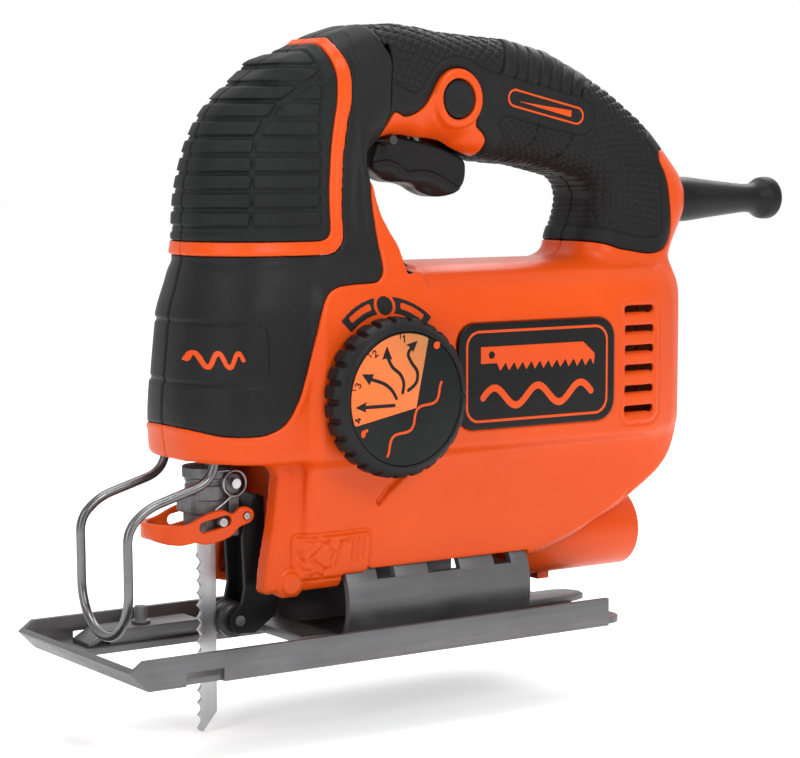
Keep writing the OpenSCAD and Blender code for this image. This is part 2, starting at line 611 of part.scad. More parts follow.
module release_lever() color([0.95, 0.36, 0.13]) union() {
  // Two arms and the thumb loop that joins them in front
  both() difference() {
    side(9.6, 11.6) polygon([[loop_x - 1, 38.2], [-10.2, 38.2], [-7.1, 37.4], [2.5, 39.3],
      [5.7, 42.5], [9.4, 43.4], [10.4, 45.5], [9.4, 47.8], [7.4, 48.7], [2.5, 47.3], [-0.6, 48.3],
      [-8, 46.6], [loop_x - 1, 44.6]]);
    side(9, 12) polygon([[-8.1, 42], [0.9, 43.5], [1.9, 44.7], [0.9, 45.9], [-8.1, 44.4], [-9.3, 43.2]]);
  }
  intersection() {
    plan(38.2, 44.6) difference() {
      translate([loop_x, 0]) circle(r = 11.6);
      translate([loop_x, 0]) circle(r = 9.1);
      translate([loop_x, -20]) square([30, 40]);
    }
    side(-12, 12) polygon([[loop_x - 13, 41], [loop_x - 9, 38.2], [loop_x + 2, 38.2],
      [loop_x + 2, 44.6], [loop_x - 11, 43.6]]);
  }
  both() box([loop_x - 4, 9.1, 38.2], [loop_x + 1, 11.6, 44]);
  // Pins on which the lever turns, and the pins in its slots
  both() cyl_y(8.1, 11.6, 1.7, lever_x, lever_z);
  both() cyl_y(9.7, 12, 1.5, -2.6, 44);
}

// ---- dial -------------------------------------------------------------------

module dial_knob() color([0.12, 0.12, 0.12]) difference() {
  cyl_y(-dial_front, -dial_back, dial_r, dial_x, dial_z);
  cyl_y(-60, -dial_front + 1.4, dial_face_r + 0.05, dial_x, dial_z);
  cyl_y(-60, -20, shaft_hole, dial_x, dial_z);
  for (a = [1:dial_lugs]) translate([dial_x, 0, dial_z]) rotate([0, a * 360 / dial_lugs, 0])
    cyl_y(-60, -20, 1.5, dial_r + 0.4, 0);
}
shaft_hole = 3.5;
module dial_face() color([0.9, 0.4, 0.15]) difference() {
  cyl_y(-dial_front + 0.4, -dial_front + 1.4, dial_face_r, dial_x, dial_z);
  for (a = [0:1:3]) translate([dial_x, 0, dial_z]) rotate([0, -a * 30 - 10, 0])
    box([-18, -60, -0.6], [-9, -dial_front + 0.8, 0.6]);
}
module dial_shaft() color([0.3, 0.3, 0.3]) {
  cyl_y(-dial_front + 1.4, -26.5, shaft_hole, dial_x, dial_z);
  cyl_y(-28.6, -26.5, 6.2, dial_x, dial_z);
}

// ---- roller -----------------------------------------------------------------

module support_arm() color([0.15, 0.15, 0.15]) difference() {
  side(-6.4, 6.4) polygon([[roller_x - 3, roller_z + 1.6], [roller_x - 3.2, roller_z - 1.6],
    [roller_x - 1, roller_z - 4.2], [14, 6], [22, 11.5], [23, 18], [23.4, 24], [22.5, 28.5],
    [17.6, 30], [17.4, 50.5], [14.4, 51.6], [9.6, 37.5], [10.4, 21], [9.4, 16.4]]);
  box([-5, -4.7, 2], [14.4, 4.7, 17.4]);
  box([5, -4.7, 17], [14, 4.7, 60]);
  cyl_y(-20, 20, 2.58, arm_x, arm_z);
  cyl_y(-20, 20, 1.75, roller_x, roller_z);
}
module roller_pin() color([0.7, 0.7, 0.72]) cyl_y(-7, 7, 1.75, roller_x, roller_z);
module guide_roller() color([0.55, 0.55, 0.57]) difference() {
  cyl_y(-4.4, 4.4, 6, roller_x, roller_z);
  cyl_y(-20, 20, 1.83, roller_x, roller_z);
  ring_y(-1.25, 1.25, 8, 3.9, roller_x, roller_z);
}

// ---- trigger and lock button ------------------------------------------------

module trigger() color([0.13, 0.13, 0.13]) difference() {
  side(-7.1, 7.1) polygon([[61, 157], [64, 152.6], [67.7, 151.6], [75.3, 150.5], [80.4, 147.7],
    [85.6, 146.6], [91.7, 147.2], [96.9, 151], [97.9, 156], [97.9, 163], [94, 168.4], [64.5, 170.4],
    [61.5, 168], [60.8, 164]]);
  cyl_y(-20, 20, 1.55, 64.2, 165.5);
  box([70, -5, 158], [95, 5, 175]);
}
module trigger_pin() color([0.7, 0.7, 0.72]) cyl_y(-12.4, 12.4, 1.5, 64.2, 165.5);
module trigger_spring() color([0.6, 0.6, 0.6]) ring_z(158.05, 176.4, 2.2, 1.5, 81, 0);
module lock_button() color([0.12, 0.12, 0.12]) {
  cyl_y(-grip_half - 0.6, -11.4, lock_r, lock_x, lock_z);
  cyl_y(-11.4, -3, 2.2, lock_x, lock_z);
}

// ---- sole -------------------------------------------------------------------

module shoe_plate() color([0.52, 0.52, 0.53]) difference() {
  union() {
    // The plate, with a rounded tail behind the rails
    plan(0, sheet) {
      translate([sole_x0, -sole_half]) square([sole_len, sole_w]);
      translate([sole_x1 - 1, tail_r - tail_half]) square([tail_x - sole_x1 + 1, 2 * (tail_half - tail_r)]);
      translate([sole_x1 - 1, -tail_half]) square([tail_x - tail_r - sole_x1 + 1, 2 * tail_half]);
      for (y = [tail_r - tail_half, tail_half - tail_r]) translate([tail_x - tail_r, y]) circle(r = tail_r);
    }
    // The rails, whose front ends rise with the lip
    both() side(sole_half - sheet, sole_half) polygon([[sole_x0, 0], [sole_x1, 0], [sole_x1, rail_h],
      [sole_x0 - 1.2, rail_h], [sole_x0 - 6, lip_h]]);
    // Front lip turned up
    side(-sole_half + 1, sole_half - 1) polygon([[sole_x0, 0], [sole_x0 + 1, sheet],
      [sole_x0 - 4.6, lip_h + 1.2], [sole_x0 - 6, lip_h]]);
  }
  // Window for the blade, with a narrower throat behind it
  plan(-1, sheet + 1) polygon([[-36, -window_w / 2], [10, -window_w / 2], [16, -16], [32, -16],
    [32, 16], [16, 16], [10, window_w / 2], [-36, window_w / 2]]);
  // Notches in the rails for the bar of a fence
  both() box([-30, sole_half - sheet, -1], [-16.6, 60, 4.2]);
}
module saddle() color([0.5, 0.5, 0.51]) union() {
  difference() {
    intersection() {
      ring_x(38.8, 112.4, saddle_r, saddle_r - 2.4, 0, bevel_z);
      box([0, -40, sheet], [200, 40, 60]);
    }
    // Slots that let the saddle turn past the clamp's screws, and the detents' slot
    box([50.6, -40, bevel_z + 8.4], [57.8, 40, 60]);
    box([71, -40, bevel_z + 8.4], [84, 40, 60]);
    box([98.1, -40, bevel_z + 8.4], [105.3, 40, 60]);
  }
  // Feet on the plate
  both() box([42, 19.6, sheet], [109, 34, sheet + 1.8]);
}
module shoe_slide() color([0.3, 0.3, 0.31]) union() {
  // A raised strip on the right, with a foot bent down in front and a skirt along the window
  side(19.5, 31) polygon([[-33.4, sheet], [-31.4, sheet], [-26.2, 5.3], [8, 5.3], [8, 7], [-26.8, 7],
    [-33.4, sheet + 1.4]]);
  box([-25.5, 19.5, sheet], [8, 21, 6]);
  // The bar that stiffens the plate behind the roller
  box([26, -17, sheet], [38, 17, sheet + 3]);
}
module shoe_stud() color([0.2, 0.2, 0.2]) union() {
  cyl_z(7, 8.2, 3.2, stud_x, stud_y);
  cyl_z(8, 12.8, 2.1, stud_x, stud_y);
}
module shoe_rivets() color([0.6, 0.6, 0.6]) {
  for (x = [48, 76, 103], y = [-30, 30]) cyl_z(sheet + 1.8, sheet + 3.4, 2.6, x, y);
}
module bevel_lever() color([0.62, 0.62, 0.63]) union() {
  difference() {
    plan(sheet + 0.3, sheet + 2.3) polygon([[118, -7], [146, -7], [151, -5], [153, 0], [151, 5], [146, 7], [118, 7], [114, 4], [114, -4]]);
    cyl_z(0, 10, 3.05, 121, 0);
  }
}

// ---- drawing ----------------------------------------------------------------

housing_left();
housing_right();
front_cover();
head_pad();
handle_grip();
trigger_bezel();
badge_plate();
housing_screws();
gear_case();
gear_spindle();
rod_bushings();
front_bearing();
rear_bearing();
stator_core();
field_coils();
brush_holders();
carbon_brushes();
switch_module();
cord_guard();
cord_clamp();
finger_guard();
fan_baffle();
dust_tube();
arm_pivot();
bevel_clamp();
bevel_screws();
armature_shaft();
armature_core();
armature_windings();
commutator();
fan();
crank_gear();
crank_pin();
counterweight();
plunger_rod();
yoke();
blade_collar();
clamp_block();
clamp_pins();
clamp_spring();
blade();
release_lever();
dial_knob();
dial_face();
dial_shaft();
support_arm();
roller_pin();
guide_roller();
trigger();
trigger_pin();
trigger_spring();
lock_button();
shoe_plate();
saddle();
shoe_slide();
shoe_stud();
shoe_rivets();
bevel_lever();
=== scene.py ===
import json
import math
import bmesh
import bpy
import numpy as np
import openvdb
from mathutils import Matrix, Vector


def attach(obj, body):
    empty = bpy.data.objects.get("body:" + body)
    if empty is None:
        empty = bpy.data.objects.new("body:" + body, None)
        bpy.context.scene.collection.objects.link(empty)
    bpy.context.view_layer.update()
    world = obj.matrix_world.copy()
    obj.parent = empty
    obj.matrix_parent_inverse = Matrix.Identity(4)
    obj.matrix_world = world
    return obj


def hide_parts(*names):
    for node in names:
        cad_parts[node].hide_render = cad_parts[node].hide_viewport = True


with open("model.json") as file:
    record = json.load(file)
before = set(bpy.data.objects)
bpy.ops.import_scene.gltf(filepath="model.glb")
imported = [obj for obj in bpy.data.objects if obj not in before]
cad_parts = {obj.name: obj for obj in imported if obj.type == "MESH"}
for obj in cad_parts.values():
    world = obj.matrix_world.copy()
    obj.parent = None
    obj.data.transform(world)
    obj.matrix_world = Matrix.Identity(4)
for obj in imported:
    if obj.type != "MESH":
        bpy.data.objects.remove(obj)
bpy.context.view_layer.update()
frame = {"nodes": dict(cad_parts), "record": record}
MM = 0.001
NODE = frame["nodes"]

# ------------------------------------------------------------------ materials


class Nodes:
    """A small helper for building a node material."""

    def __init__(self, name):
        self.mat = bpy.data.materials.new(name)
        self.mat.use_nodes = True
        self.t = self.mat.node_tree
        self.bsdf = self.t.nodes["Principled BSDF"]
        self.co = self.t.nodes.new("ShaderNodeTexCoord").outputs["Object"]

    def feed(self, socket, v):
        """Link an output to the socket, or set the socket's value."""
        if isinstance(v, bpy.types.NodeSocket):
            self.t.links.new(v, socket)
        else:
            socket.default_value = (*v, 1.0) if isinstance(v, (tuple, list)) and len(v) == 3 else v

    def new(self, kind, **inputs):
        n = self.t.nodes.new("ShaderNode" + kind)
        for k, v in inputs.items():
            self.feed(n.inputs[k], v)
        return n

    def noise(self, scale, detail=3.0, rough=0.5, vec=None):
        return self.new("TexNoise", Vector=vec or self.co, Scale=scale, Detail=detail,
            Roughness=rough).outputs["Fac"]

    def stretch(self, x, y, z):
        n = self.new("Mapping", Vector=self.co)
        n.inputs["Scale"].default_value = (x, y, z)
        return n.outputs["Vector"]

    def span(self, fac, a, b, lo=0.0, hi=1.0):
        n = self.new("MapRange", Value=fac)
        for k, v in (("From Min", a), ("From Max", b), ("To Min", lo), ("To Max", hi)):
            n.inputs[k].default_value = v
        return n.outputs["Result"]

    def mix(self, fac, a, b):
        n = self.t.nodes.new("ShaderNodeMix")
        n.data_type = "RGBA"
        for s, v in ((n.inputs[0], fac), (n.inputs[6], a), (n.inputs[7], b)):
            self.feed(s, v)
        return n.outputs[2]

    def math(self, op, a, b=0.0):
        n = self.t.nodes.new("ShaderNodeMath")
        n.operation = op
        for s, v in ((n.inputs[0], a), (n.inputs[1], b)):
            self.feed(s, v)
        return n.outputs[0]

    def bump(self, height, strength, distance, normal=None):
        n = self.new("Bump", Height=height, Strength=strength, Distance=distance)
        if normal is not None:
            self.t.links.new(normal, n.inputs["Normal"])
        return n.outputs["Normal"]

    def set(self, **sockets):
        for k, v in sockets.items():
            self.feed(self.bsdf.inputs[k.replace("_", " ")], v)
        return self.mat


def plastic(name, dark, light, rough=(0.34, 0.46), grain=900.0, grain_h=0.00006, spec=0.5,
        wear=(0.9, 0.9, 0.9), wear_amt=0.12):
    """Moulded plastic: slow tone changes, fine spark-eroded grain, faint rubbed patches and dust."""
    m = Nodes(name)
    slow = m.span(m.noise(14, 4, 0.6), 0.35, 0.68)
    tone = m.mix(slow, dark, light)
    specks = m.span(m.noise(2600, 2, 0.5), 0.69, 0.76)
    tone = m.mix(m.math("MULTIPLY", specks, wear_amt), tone, wear)
    rub = m.span(m.noise(60, 6, 0.7), 0.56, 0.75)
    r = m.span(m.noise(35, 5, 0.65), 0.3, 0.72, rough[0], rough[1])
    r = m.math("ADD", r, m.math("MULTIPLY", rub, -0.05))
    g = m.bump(m.noise(grain, 3, 0.6), 0.5, grain_h)
    g = m.bump(m.noise(170, 2, 0.5), 0.12, 0.00008, g)
    return m.set(Base_Color=tone, Roughness=r, Normal=g, Metallic=0.0,
        Specular_IOR_Level=spec * (0.5 if light[0] > 0.1 else 0.3))


def steel(name, dark, light, rough=(0.25, 0.42), stretch=(1, 1, 1), metallic=1.0, bump=0.00002,
        scratches=0.6):
    """Metal with a brushed or drawn direction, cloudy tone and fine scratches."""
    m = Nodes(name)
    brushed = m.noise(420, 5, 0.65, m.stretch(*stretch))
    cloud = m.noise(45, 5, 0.6)
    tone = m.mix(m.span(cloud, 0.3, 0.7), dark, light)
    tone = m.mix(m.span(brushed, 0.35, 0.75, 0.0, 0.35), tone, dark)
    r = m.math("ADD", m.span(brushed, 0.3, 0.7, rough[0], rough[1]), m.span(cloud, 0.4, 0.7, 0.0, 0.08))
    scr = m.span(m.noise(900, 3, 0.4, m.stretch(0.12, 2.5, 1.6)), 0.66, 0.72, 0.0, scratches)
    n = m.bump(brushed, 0.35, bump)
    n = m.bump(scr, 0.25, 0.00002, n)
    return m.set(Base_Color=tone, Roughness=r, Normal=n, Metallic=metallic)


ORANGE = (0.58, 0.056, 0.002), (0.66, 0.070, 0.003)
# name, dark and light tone, roughness, grain and its height, specular, tone and amount of wear
PLASTICS = (
    ("orange_plastic", *ORANGE, (0.33, 0.43), 1100, 0.00003, 0.45, (0.6, 0.3, 0.2), 0.10),
    ("orange_lever", *ORANGE, (0.28, 0.38), 1200, 0.00002, 0.5, (0.6, 0.3, 0.2), 0.08),
    ("black_plastic", (0.009, 0.009, 0.0095), (0.014, 0.014, 0.0145), (0.42, 0.56), 1000, 0.00014, 0.5,
        (0.16, 0.16, 0.16), 0.25),
    ("rubber_pad", (0.008, 0.0082, 0.0084), (0.013, 0.0135, 0.0138), (0.46, 0.62), 1300, 0.00012, 0.45,
        (0.14, 0.14, 0.14), 0.22),
    ("rubber_grip", (0.008, 0.0082, 0.0084), (0.0135, 0.0135, 0.014), (0.46, 0.60), 1300, 0.00008, 0.45,
        (0.14, 0.14, 0.14), 0.22),
    ("trigger_plastic", (0.010, 0.010, 0.0105), (0.015, 0.015, 0.0155), (0.36, 0.48), 1200, 0.00009, 0.5,
        (0.15, 0.15, 0.15), 0.15),
    ("dial_plastic", (0.009, 0.009, 0.0095), (0.014, 0.014, 0.0145), (0.36, 0.5), 1100, 0.00007, 0.5,
        (0.15, 0.15, 0.15), 0.18),
    ("badge", (0.006, 0.006, 0.006), (0.010, 0.010, 0.010), (0.30, 0.42), 1500, 0.00003, 0.5,
        (0.15, 0.15, 0.15), 0.15),
    ("print_orange", *ORANGE, (0.32, 0.44), 1500, 0.00002, 0.5, (0.4, 0.2, 0.1), 0.10),
    ("cord_rubber", (0.007, 0.007, 0.007), (0.012, 0.012, 0.012), (0.36, 0.5), 1300, 0.00005, 0.5,
        (0.15, 0.15, 0.15), 0.15),
    ("arm_paint", (0.008, 0.008, 0.008), (0.014, 0.014, 0.014), (0.36, 0.52), 700, 0.00008, 0.5,
        (0.2, 0.2, 0.2), 0.25),
    ("carbon", (0.008, 0.008, 0.008), (0.02, 0.02, 0.02), (0.5, 0.7), 900, 0.00008),
)
# name, dark and light tone, roughness, stretch of the brushing, metallic, bump, scratches
METALS = (
    ("screw_steel", (0.42, 0.42, 0.43), (0.6, 0.6, 0.61), (0.2, 0.36)),
    ("bearing_steel", (0.45, 0.45, 0.46), (0.62, 0.62, 0.63), (0.16, 0.3)),
    ("gear_steel", (0.3, 0.3, 0.31), (0.45, 0.45, 0.46), (0.28, 0.45)),
    ("clamp_steel", (0.09, 0.09, 0.092), (0.17, 0.17, 0.175), (0.36, 0.55), (1, 1, 1), 0.85, 0.00006),
    ("spring_steel", (0.22, 0.22, 0.23), (0.36, 0.36, 0.37), (0.22, 0.36)),
    ("guard_wire", (0.13, 0.13, 0.133), (0.20, 0.20, 0.204), (0.22, 0.36), (1, 1, 1), 1.0, 0.00003),
    ("sole_steel", (0.115, 0.115, 0.118), (0.17, 0.17, 0.174), (0.36, 0.52), (0.08, 1.6, 1.6), 0.75,
        0.00004, 0.35),
    ("sole_edge", (0.10, 0.10, 0.102), (0.16, 0.16, 0.163), (0.3, 0.46), (0.08, 1.6, 1.6), 0.8, 0.00004,
        0.5),
    ("dark_plate", (0.035, 0.035, 0.036), (0.07, 0.07, 0.072), (0.34, 0.52), (0.1, 1.5, 1.5), 0.6,
        0.00005, 0.4),
    ("blade_steel", (0.36, 0.36, 0.37), (0.52, 0.52, 0.53), (0.24, 0.38), (1.5, 1.5, 0.08), 0.95, 0.00003,
        0.5),
    ("cast_alloy", (0.45, 0.45, 0.46), (0.6, 0.6, 0.61), (0.4, 0.55), (1, 1, 1), 1.0, 0.00008),
    ("lamination", (0.16, 0.16, 0.17), (0.28, 0.28, 0.29), (0.35, 0.5), (3.0, 0.1, 0.1)),
    ("copper_wire", (0.42, 0.14, 0.04), (0.55, 0.2, 0.07), (0.25, 0.4), (0.1, 2, 2)),
    ("commutator_copper", (0.5, 0.22, 0.10), (0.66, 0.34, 0.18), (0.2, 0.34)),
    ("bronze", (0.42, 0.27, 0.1), (0.56, 0.38, 0.17), (0.35, 0.5)),
)
MAT = {row[0]: plastic(*row) for row in PLASTICS}
MAT.update({row[0]: steel(*row) for row in METALS})


def dial_material():
    """The dial's printed disc: orange that darkens towards the sector's edge."""
    m = Nodes("dial_face")
    sep = m.new("SeparateXYZ", Vector=m.co)
    x = m.math("SUBTRACT", sep.outputs["X"], 0.0492)
    z = m.math("SUBTRACT", sep.outputs["Z"], 0.0834)
    slant = m.math("ADD", m.math("MULTIPLY", x, 0.8), m.math("MULTIPLY", z, 0.6))
    f = m.span(slant, -0.012, 0.017)
    tone = m.mix(f, (0.92, 0.13, 0.010), (0.38, 0.15, 0.035))
    tone = m.mix(m.span(m.noise(60, 4), 0.4, 0.7, 0.0, 0.12), tone, (0.5, 0.12, 0.02))
    n = m.bump(m.noise(1500, 2), 0.3, 0.00001)
    return m.set(Base_Color=tone, Roughness=m.span(m.noise(40, 4), 0.3, 0.7, 0.26, 0.36), Normal=n)


MAT["dial_face"] = dial_material()
MAT["dial_black"] = plastic("dial_black", (0.006, 0.007, 0.007), (0.011, 0.012, 0.012), (0.22, 0.32),
    1500, 0.00001, 0.5, (0.1, 0.1, 0.1), 0.08)
MAT["roller_black"] = steel("roller_black", (0.03, 0.03, 0.031), (0.06, 0.06, 0.062), (0.3, 0.45),
    metallic=0.7)

# ------------------------------------------------------------------ fields


def spacing(fine):
    return fine


def radius(u, v):
    return np.sqrt(u ** 2 + v ** 2)


class Grid:
    """A box of sample points in millimetres, and the surface of a field on it."""

    def __init__(self, lo, hi, h):
        self.lo, self.h = np.array(lo, float), h
        n = [int(round((b - a) / h)) + 1 for a, b in zip(lo, hi)]
        ax = [(a + h * np.arange(k)).astype(np.float32) for a, k in zip(lo, n)]
        self.x, self.y, self.z = ax[0][:, None, None], ax[1][None, :, None], ax[2][None, None, :]
        self.n = n

    def xz(self, f):
        """A field of x and z only, worked out on the plane and spread along y."""
        return f(self.x[:, 0, :], self.z[0, :, :])[:, None, :].astype(np.float32)

    def yz(self, f):
        return f(self.y[0, :, :], self.z[0, :, :])[None, :, :].astype(np.float32)

    def xy(self, f):
        return f(self.x[:, :, 0], self.y[:, :, 0])[:, :, None].astype(np.float32)


def edge_sq(p, q, a, b):
    """Squared distance to the straight edge from p to q."""
    ex, ey = q[0] - p[0], q[1] - p[1]
    wx, wy = a - p[0], b - p[1]
    t = np.clip((wx * ex + wy * ey) / max(ex * ex + ey * ey, 1e-9), 0, 1)
    return (wx - ex * t) ** 2 + (wy - ey * t) ** 2


def outline_sd(p, a, b):
    """Signed distance to a closed outline on a plane, negative inside."""
    a, b = np.broadcast_arrays(a, b)
    d = np.full(a.shape, 1e9, np.float32)
    inside = np.zeros(a.shape, bool)
    for i in range(len(p)):
        (x0, y0), (x1, y1) = p[i - 1], p[i]
        d = np.minimum(d, edge_sq(p[i - 1], p[i], a, b))
        if y0 != y1:
            cond = (y0 > b) != (y1 > b)
            inside ^= cond & (a < (x1 - x0) * (b - y0) / (y1 - y0) + x0)
    d = np.sqrt(d)
    return np.where(inside, -d, d).astype(np.float32)


def line_sd(p, a, b):
    """Distance to an open line on a plane."""
    a, b = np.broadcast_arrays(a, b)
    d = np.full(a.shape, 1e9, np.float32)
    for start, end in zip(p[:-1], p[1:]):
        d = np.minimum(d, edge_sq(start, end, a, b))
    return np.sqrt(d).astype(np.float32)


def smooth_line(p, closed=True, k=6, keep=()):
    """A Catmull-Rom curve through the points; indices in keep stay sharp corners."""
    n, out = len(p), []
    last = n if closed else n - 1
    for i in range(last):
        g = lambda j: np.array(p[j % n] if closed else p[min(max(j, 0), n - 1)], float)
        p0, p1, p2, p3 = g(i - 1), g(i), g(i + 1), g(i + 2)
        if i % n in keep:
            p0 = p1
        if (i + 1) % n in keep:
            p3 = p2
        for t in np.arange(k) / k:
            out.append(tuple(0.5 * (2 * p1 + (p2 - p0) * t + (2 * p0 - 5 * p1 + 4 * p2 - p3) * t * t
                + (3 * p1 - p0 - 3 * p2 + p3) * t ** 3)))
    if not closed:
        out.append(tuple(p[-1]))
    return out


def lookup(pts, v):
    """A smooth curve value(v) through (v, value) pairs."""
    p = np.array(smooth_line(pts, closed=False, k=8))
    order = np.argsort(p[:, 0])
    return np.interp(v, p[order, 0], p[order, 1]).astype(np.float32)


def meet(a, b, r):
    """Intersection with a rounded edge."""
    return np.minimum(np.maximum(a, b), -r) + np.sqrt(np.maximum(a + r, 0) ** 2 + np.maximum(b + r,
        0) ** 2)


def join(a, b, r):
    """Union with a rounded inner corner."""
    return np.maximum(np.minimum(a, b), r) - np.sqrt(np.maximum(r - a, 0) ** 2 + np.maximum(r - b,
        0) ** 2)


def cut(a, b, r):
    return meet(a, -b, r)


def bell(d, w):
    return np.exp(-((d / w) ** 2))


def ease(v, a, b):
    t = np.clip((v - a) / (b - a), 0, 1)
    return t * t * (3 - 2 * t)


def soften(f, s):
    """Gaussian blur of a field on a plane, s in samples."""
    k = int(3 * s) + 1
    w = np.exp(-0.5 * (np.arange(-k, k + 1) / s) ** 2)
    w /= w.sum()
    for ax in (0, 1):
        p = np.pad(f, [(k, k) if i == ax else (0, 0) for i in (0, 1)], mode="edge")
        f = sum(wi * np.take(p, np.arange(i, i + f.shape[ax]), axis=ax) for i, wi in enumerate(w))
    return f.astype(np.float32)


def put(obj, body, mat, *nodes, slot=None):
    obj.data.materials.append(MAT[mat])
    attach(obj, body)
    if nodes:
        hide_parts(*nodes)
    return obj


def link(name, mesh):
    o = bpy.data.objects.new(name, mesh)
    bpy.context.scene.collection.objects.link(o)
    return o


# ------------------------------------------------------------------ the housing

WALL = 2.5
LEG_HALF = 20.3              # half the width of the leg behind the blade
TILT_Z = 14                  # axis that the sole tilts about
PORT_Z = 27                  # axis of the dust tube
CORD_Z = 144.3               # axis of the cord guard
ARM_Z = 23.9                 # height of the arm's pivot
GUARD_X, GUARD_Y = -6.3, 16  # where the legs of the finger guard enter the skirt
BUTTON_X, BUTTON_Z = 86.3, 179
ARM_X = 18.2   # pivot of the arm that carries the roller
BODY = [(22, 24), (30, 22.9), (116, 22.9), (119.6, 24.4), (134.5, 29.8), (152, 38), (164, 45.6),
    (176, 54.5), (181.5, 61), (183.3, 69), (183.3, 116), (181, 121.5), (176, 125.6), (150, 125.6),
    (100, 125.7), (24, 125.7)]
SECTION = [(0, 22.9), (21.3, 22.9), (22.6, 27), (23.6, 34), (24.4, 43), (25.4, 52), (26.4, 58.5),
    (27.3, 62.2), (30.6, 64.6), (31.7, 71), (31.9, 80), (31.9, 104), (31, 111), (28.4, 117),
    (23.5, 121.8), (16, 124.6), (7, 125.7), (0, 125.8)]
PLAN = [(-50, -41), (150, -34.3), (163, -32.3), (173, -29.2), (179, -24), (182.4, -16), (183.3, -8)]
HEAD = [(-15, 64.5), (14.5, 63.4), (66, 63.4), (66, 122.6), (63.2, 126), (58.3, 131.4), (55.4, 135.6),
    (52.4, 141), (50.3, 147.6), (49, 155), (48.6, 176), (30, 190.6), (21.5, 190), (12, 184.4),
    (3.6, 178.8), (-1.2, 173), (-4.2, 167), (-6.2, 161.6), (-8.8, 150.2), (-9.6, 140), (-9.7, 131),
    (-11, 121.2), (-14.2, 110.9), (-16.4, 88.3), (-17, 79), (-16, 70)]
GRIP = [(30, 158), (52, 158), (56.6, 162.6), (61, 166.4), (69.3, 167.2), (84.7, 164.4), (97.7, 159.9),
    (108.6, 157.8), (123, 156.8), (134.7, 154.4), (143.6, 152.4), (147.4, 149.2), (148.4, 145.2),
    (147.2, 139.6), (144.2, 133), (143, 126), (142, 117), (181, 117), (184.5, 128), (188.2, 135.3),
    (190.7, 141), (190.7, 148.7), (187.4, 155.2), (179.3, 164.2), (170.3, 173.3), (156.4, 183.1),
    (143, 190.4), (129.7, 196.3), (112.5, 200.1), (98, 200.9), (83.3, 201.9), (75, 203.3), (66.3, 204),
    (53.3, 203.1), (42.8, 199.9), (30, 194), (22.5, 189.7), (24, 172)]
NOSE = [(60, 36.3), (70, 36.9), (79, 37.0), (88.3, 36.4), (100, 35.4), (110.9, 34.1), (121.2, 31.0),
    (126, 29.9), (131, 29.6), (140, 29.6), (150.2, 28.8), (161.6, 26.2), (167, 24.2), (173, 21.2),
    (178.4, 16.8), (183.8, 10.8), (190, 4), (196, 0.5)]
NOSE_SIDE = [(60, 34.4), (79, 35.1), (100, 33.4), (110.9, 31.9), (121.2, 28.8), (131, 26.6), (140, 25.6),
    (150.2, 24), (161.6, 21), (173, 16.6), (180, 14.6), (188, 13), (196, 11.5), (206, 9)]
HEAD_HALF = [(58, 27.6), (66, 29.6), (72, 29.9), (100, 29.9), (118, 29.6), (124, 28.2), (130, 26.6),
    (137, 25.7), (150, 24.0), (162, 21.4), (173, 18.4), (184, 16), (194, 13), (204, 8)]
COVER = [(-60, 77.7), (-30, 77.7), (-22, 77), (-14, 75), (-7, 73.2), (2.5, 73.1), (7, 74.1), (11, 76),
    (13.8, 79), (15.4, 81.6), (17.5, 85.8), (20.6, 95.4), (23.2, 105.5), (25, 112), (27.6, 116.3),
    (31.5, 118.6), (37, 119.4), (43.5, 119.6), (47.8, 120.2), (50.3, 122.9), (50.5, 127), (49.4, 135),
    (48.6, 143), (48.6, 148.3), (50, 153.5), (54, 155.6), (60, 156), (60, 172), (60, 190), (57, 196),
    (53, 206), (41.5, 212), (40.3, 201), (39.9, 197.5), (40.7, 194.2), (42.1, 191.1), (43.5, 187.5),
    (44.2, 183.1), (43.9, 176.8), (42.4, 172.3), (40.9, 166), (39.3, 158.9), (37.6, 150), (36.8, 143),
    (36.8, 136), (36.2, 133.2), (34.8, 131), (32.6, 129.6), (29, 129.1), (20, 129), (10, 129), (-10, 129),
    (-30, 129), (-60, 129), (-60, 115), (-60, 100), (-60, 90)]
PAD = [(-60, 133.4), (-30, 133.4), (-10, 133.4), (5, 133.4), (15, 133.4), (26, 133.4), (29.3, 133.8),
    (31.3, 135), (32.1, 137.4), (32.2, 142), (32.8, 150), (34.6, 158.9), (35.9, 166), (37.4, 172.3),
    (38.5, 176.8), (38.8, 182.1), (38.5, 186.1), (37.6, 190.1), (36.6, 193.3), (36, 197), (35.6, 200),
    (35.5, 206), (8, 206), (-30, 206), (-60, 206), (-60, 180), (-60, 150)]
GRIP_AREA = [(60.1, 122), (100, 150), (121, 136), (127.8, 131), (131, 131.2), (135.8, 131.5),
    (148.9, 129.8), (155, 128), (161, 126.9), (168, 125.9), (173.3, 126.5), (177, 128.3), (178.9, 131.8),
    (178.8, 138), (177.4, 148.9), (175.8, 154), (173.7, 158.4), (174.8, 162), (179.8, 167), (179.8, 215),
    (53.2, 215), (53.2, 206), (57.2, 196), (60.1, 190)]
BEZEL = [(60.3, 150), (60.3, 172.9), (66, 173.2), (69.4, 173.9), (73, 176.4), (76, 180.5), (78.6, 185),
    (82.2, 188.2), (86.5, 189.3), (90.9, 188.3), (94.4, 185.2), (96, 181), (96, 176.5), (94.9, 173.4),
    (95, 170.6), (97.6, 168), (99.3, 165.4), (99.4, 162), (97.7, 155), (96, 150)]
LEG = [(9.4, 20.7), (40, 20.7), (47, 22.9), (52, 66), (8, 66), (15, 59.4), (13.1, 43.3), (10.4, 30)]
SCREWS = [(168, 62, 30), (176, 112, 26), (128, 116, 29), (31, 44, 20), (152, 172, 17), (44, 188, 15)]


def sd(p, **kw):
    curve = smooth_line(p, **kw) if kw else p
    return lambda a, b: outline_sd(curve, a, b)


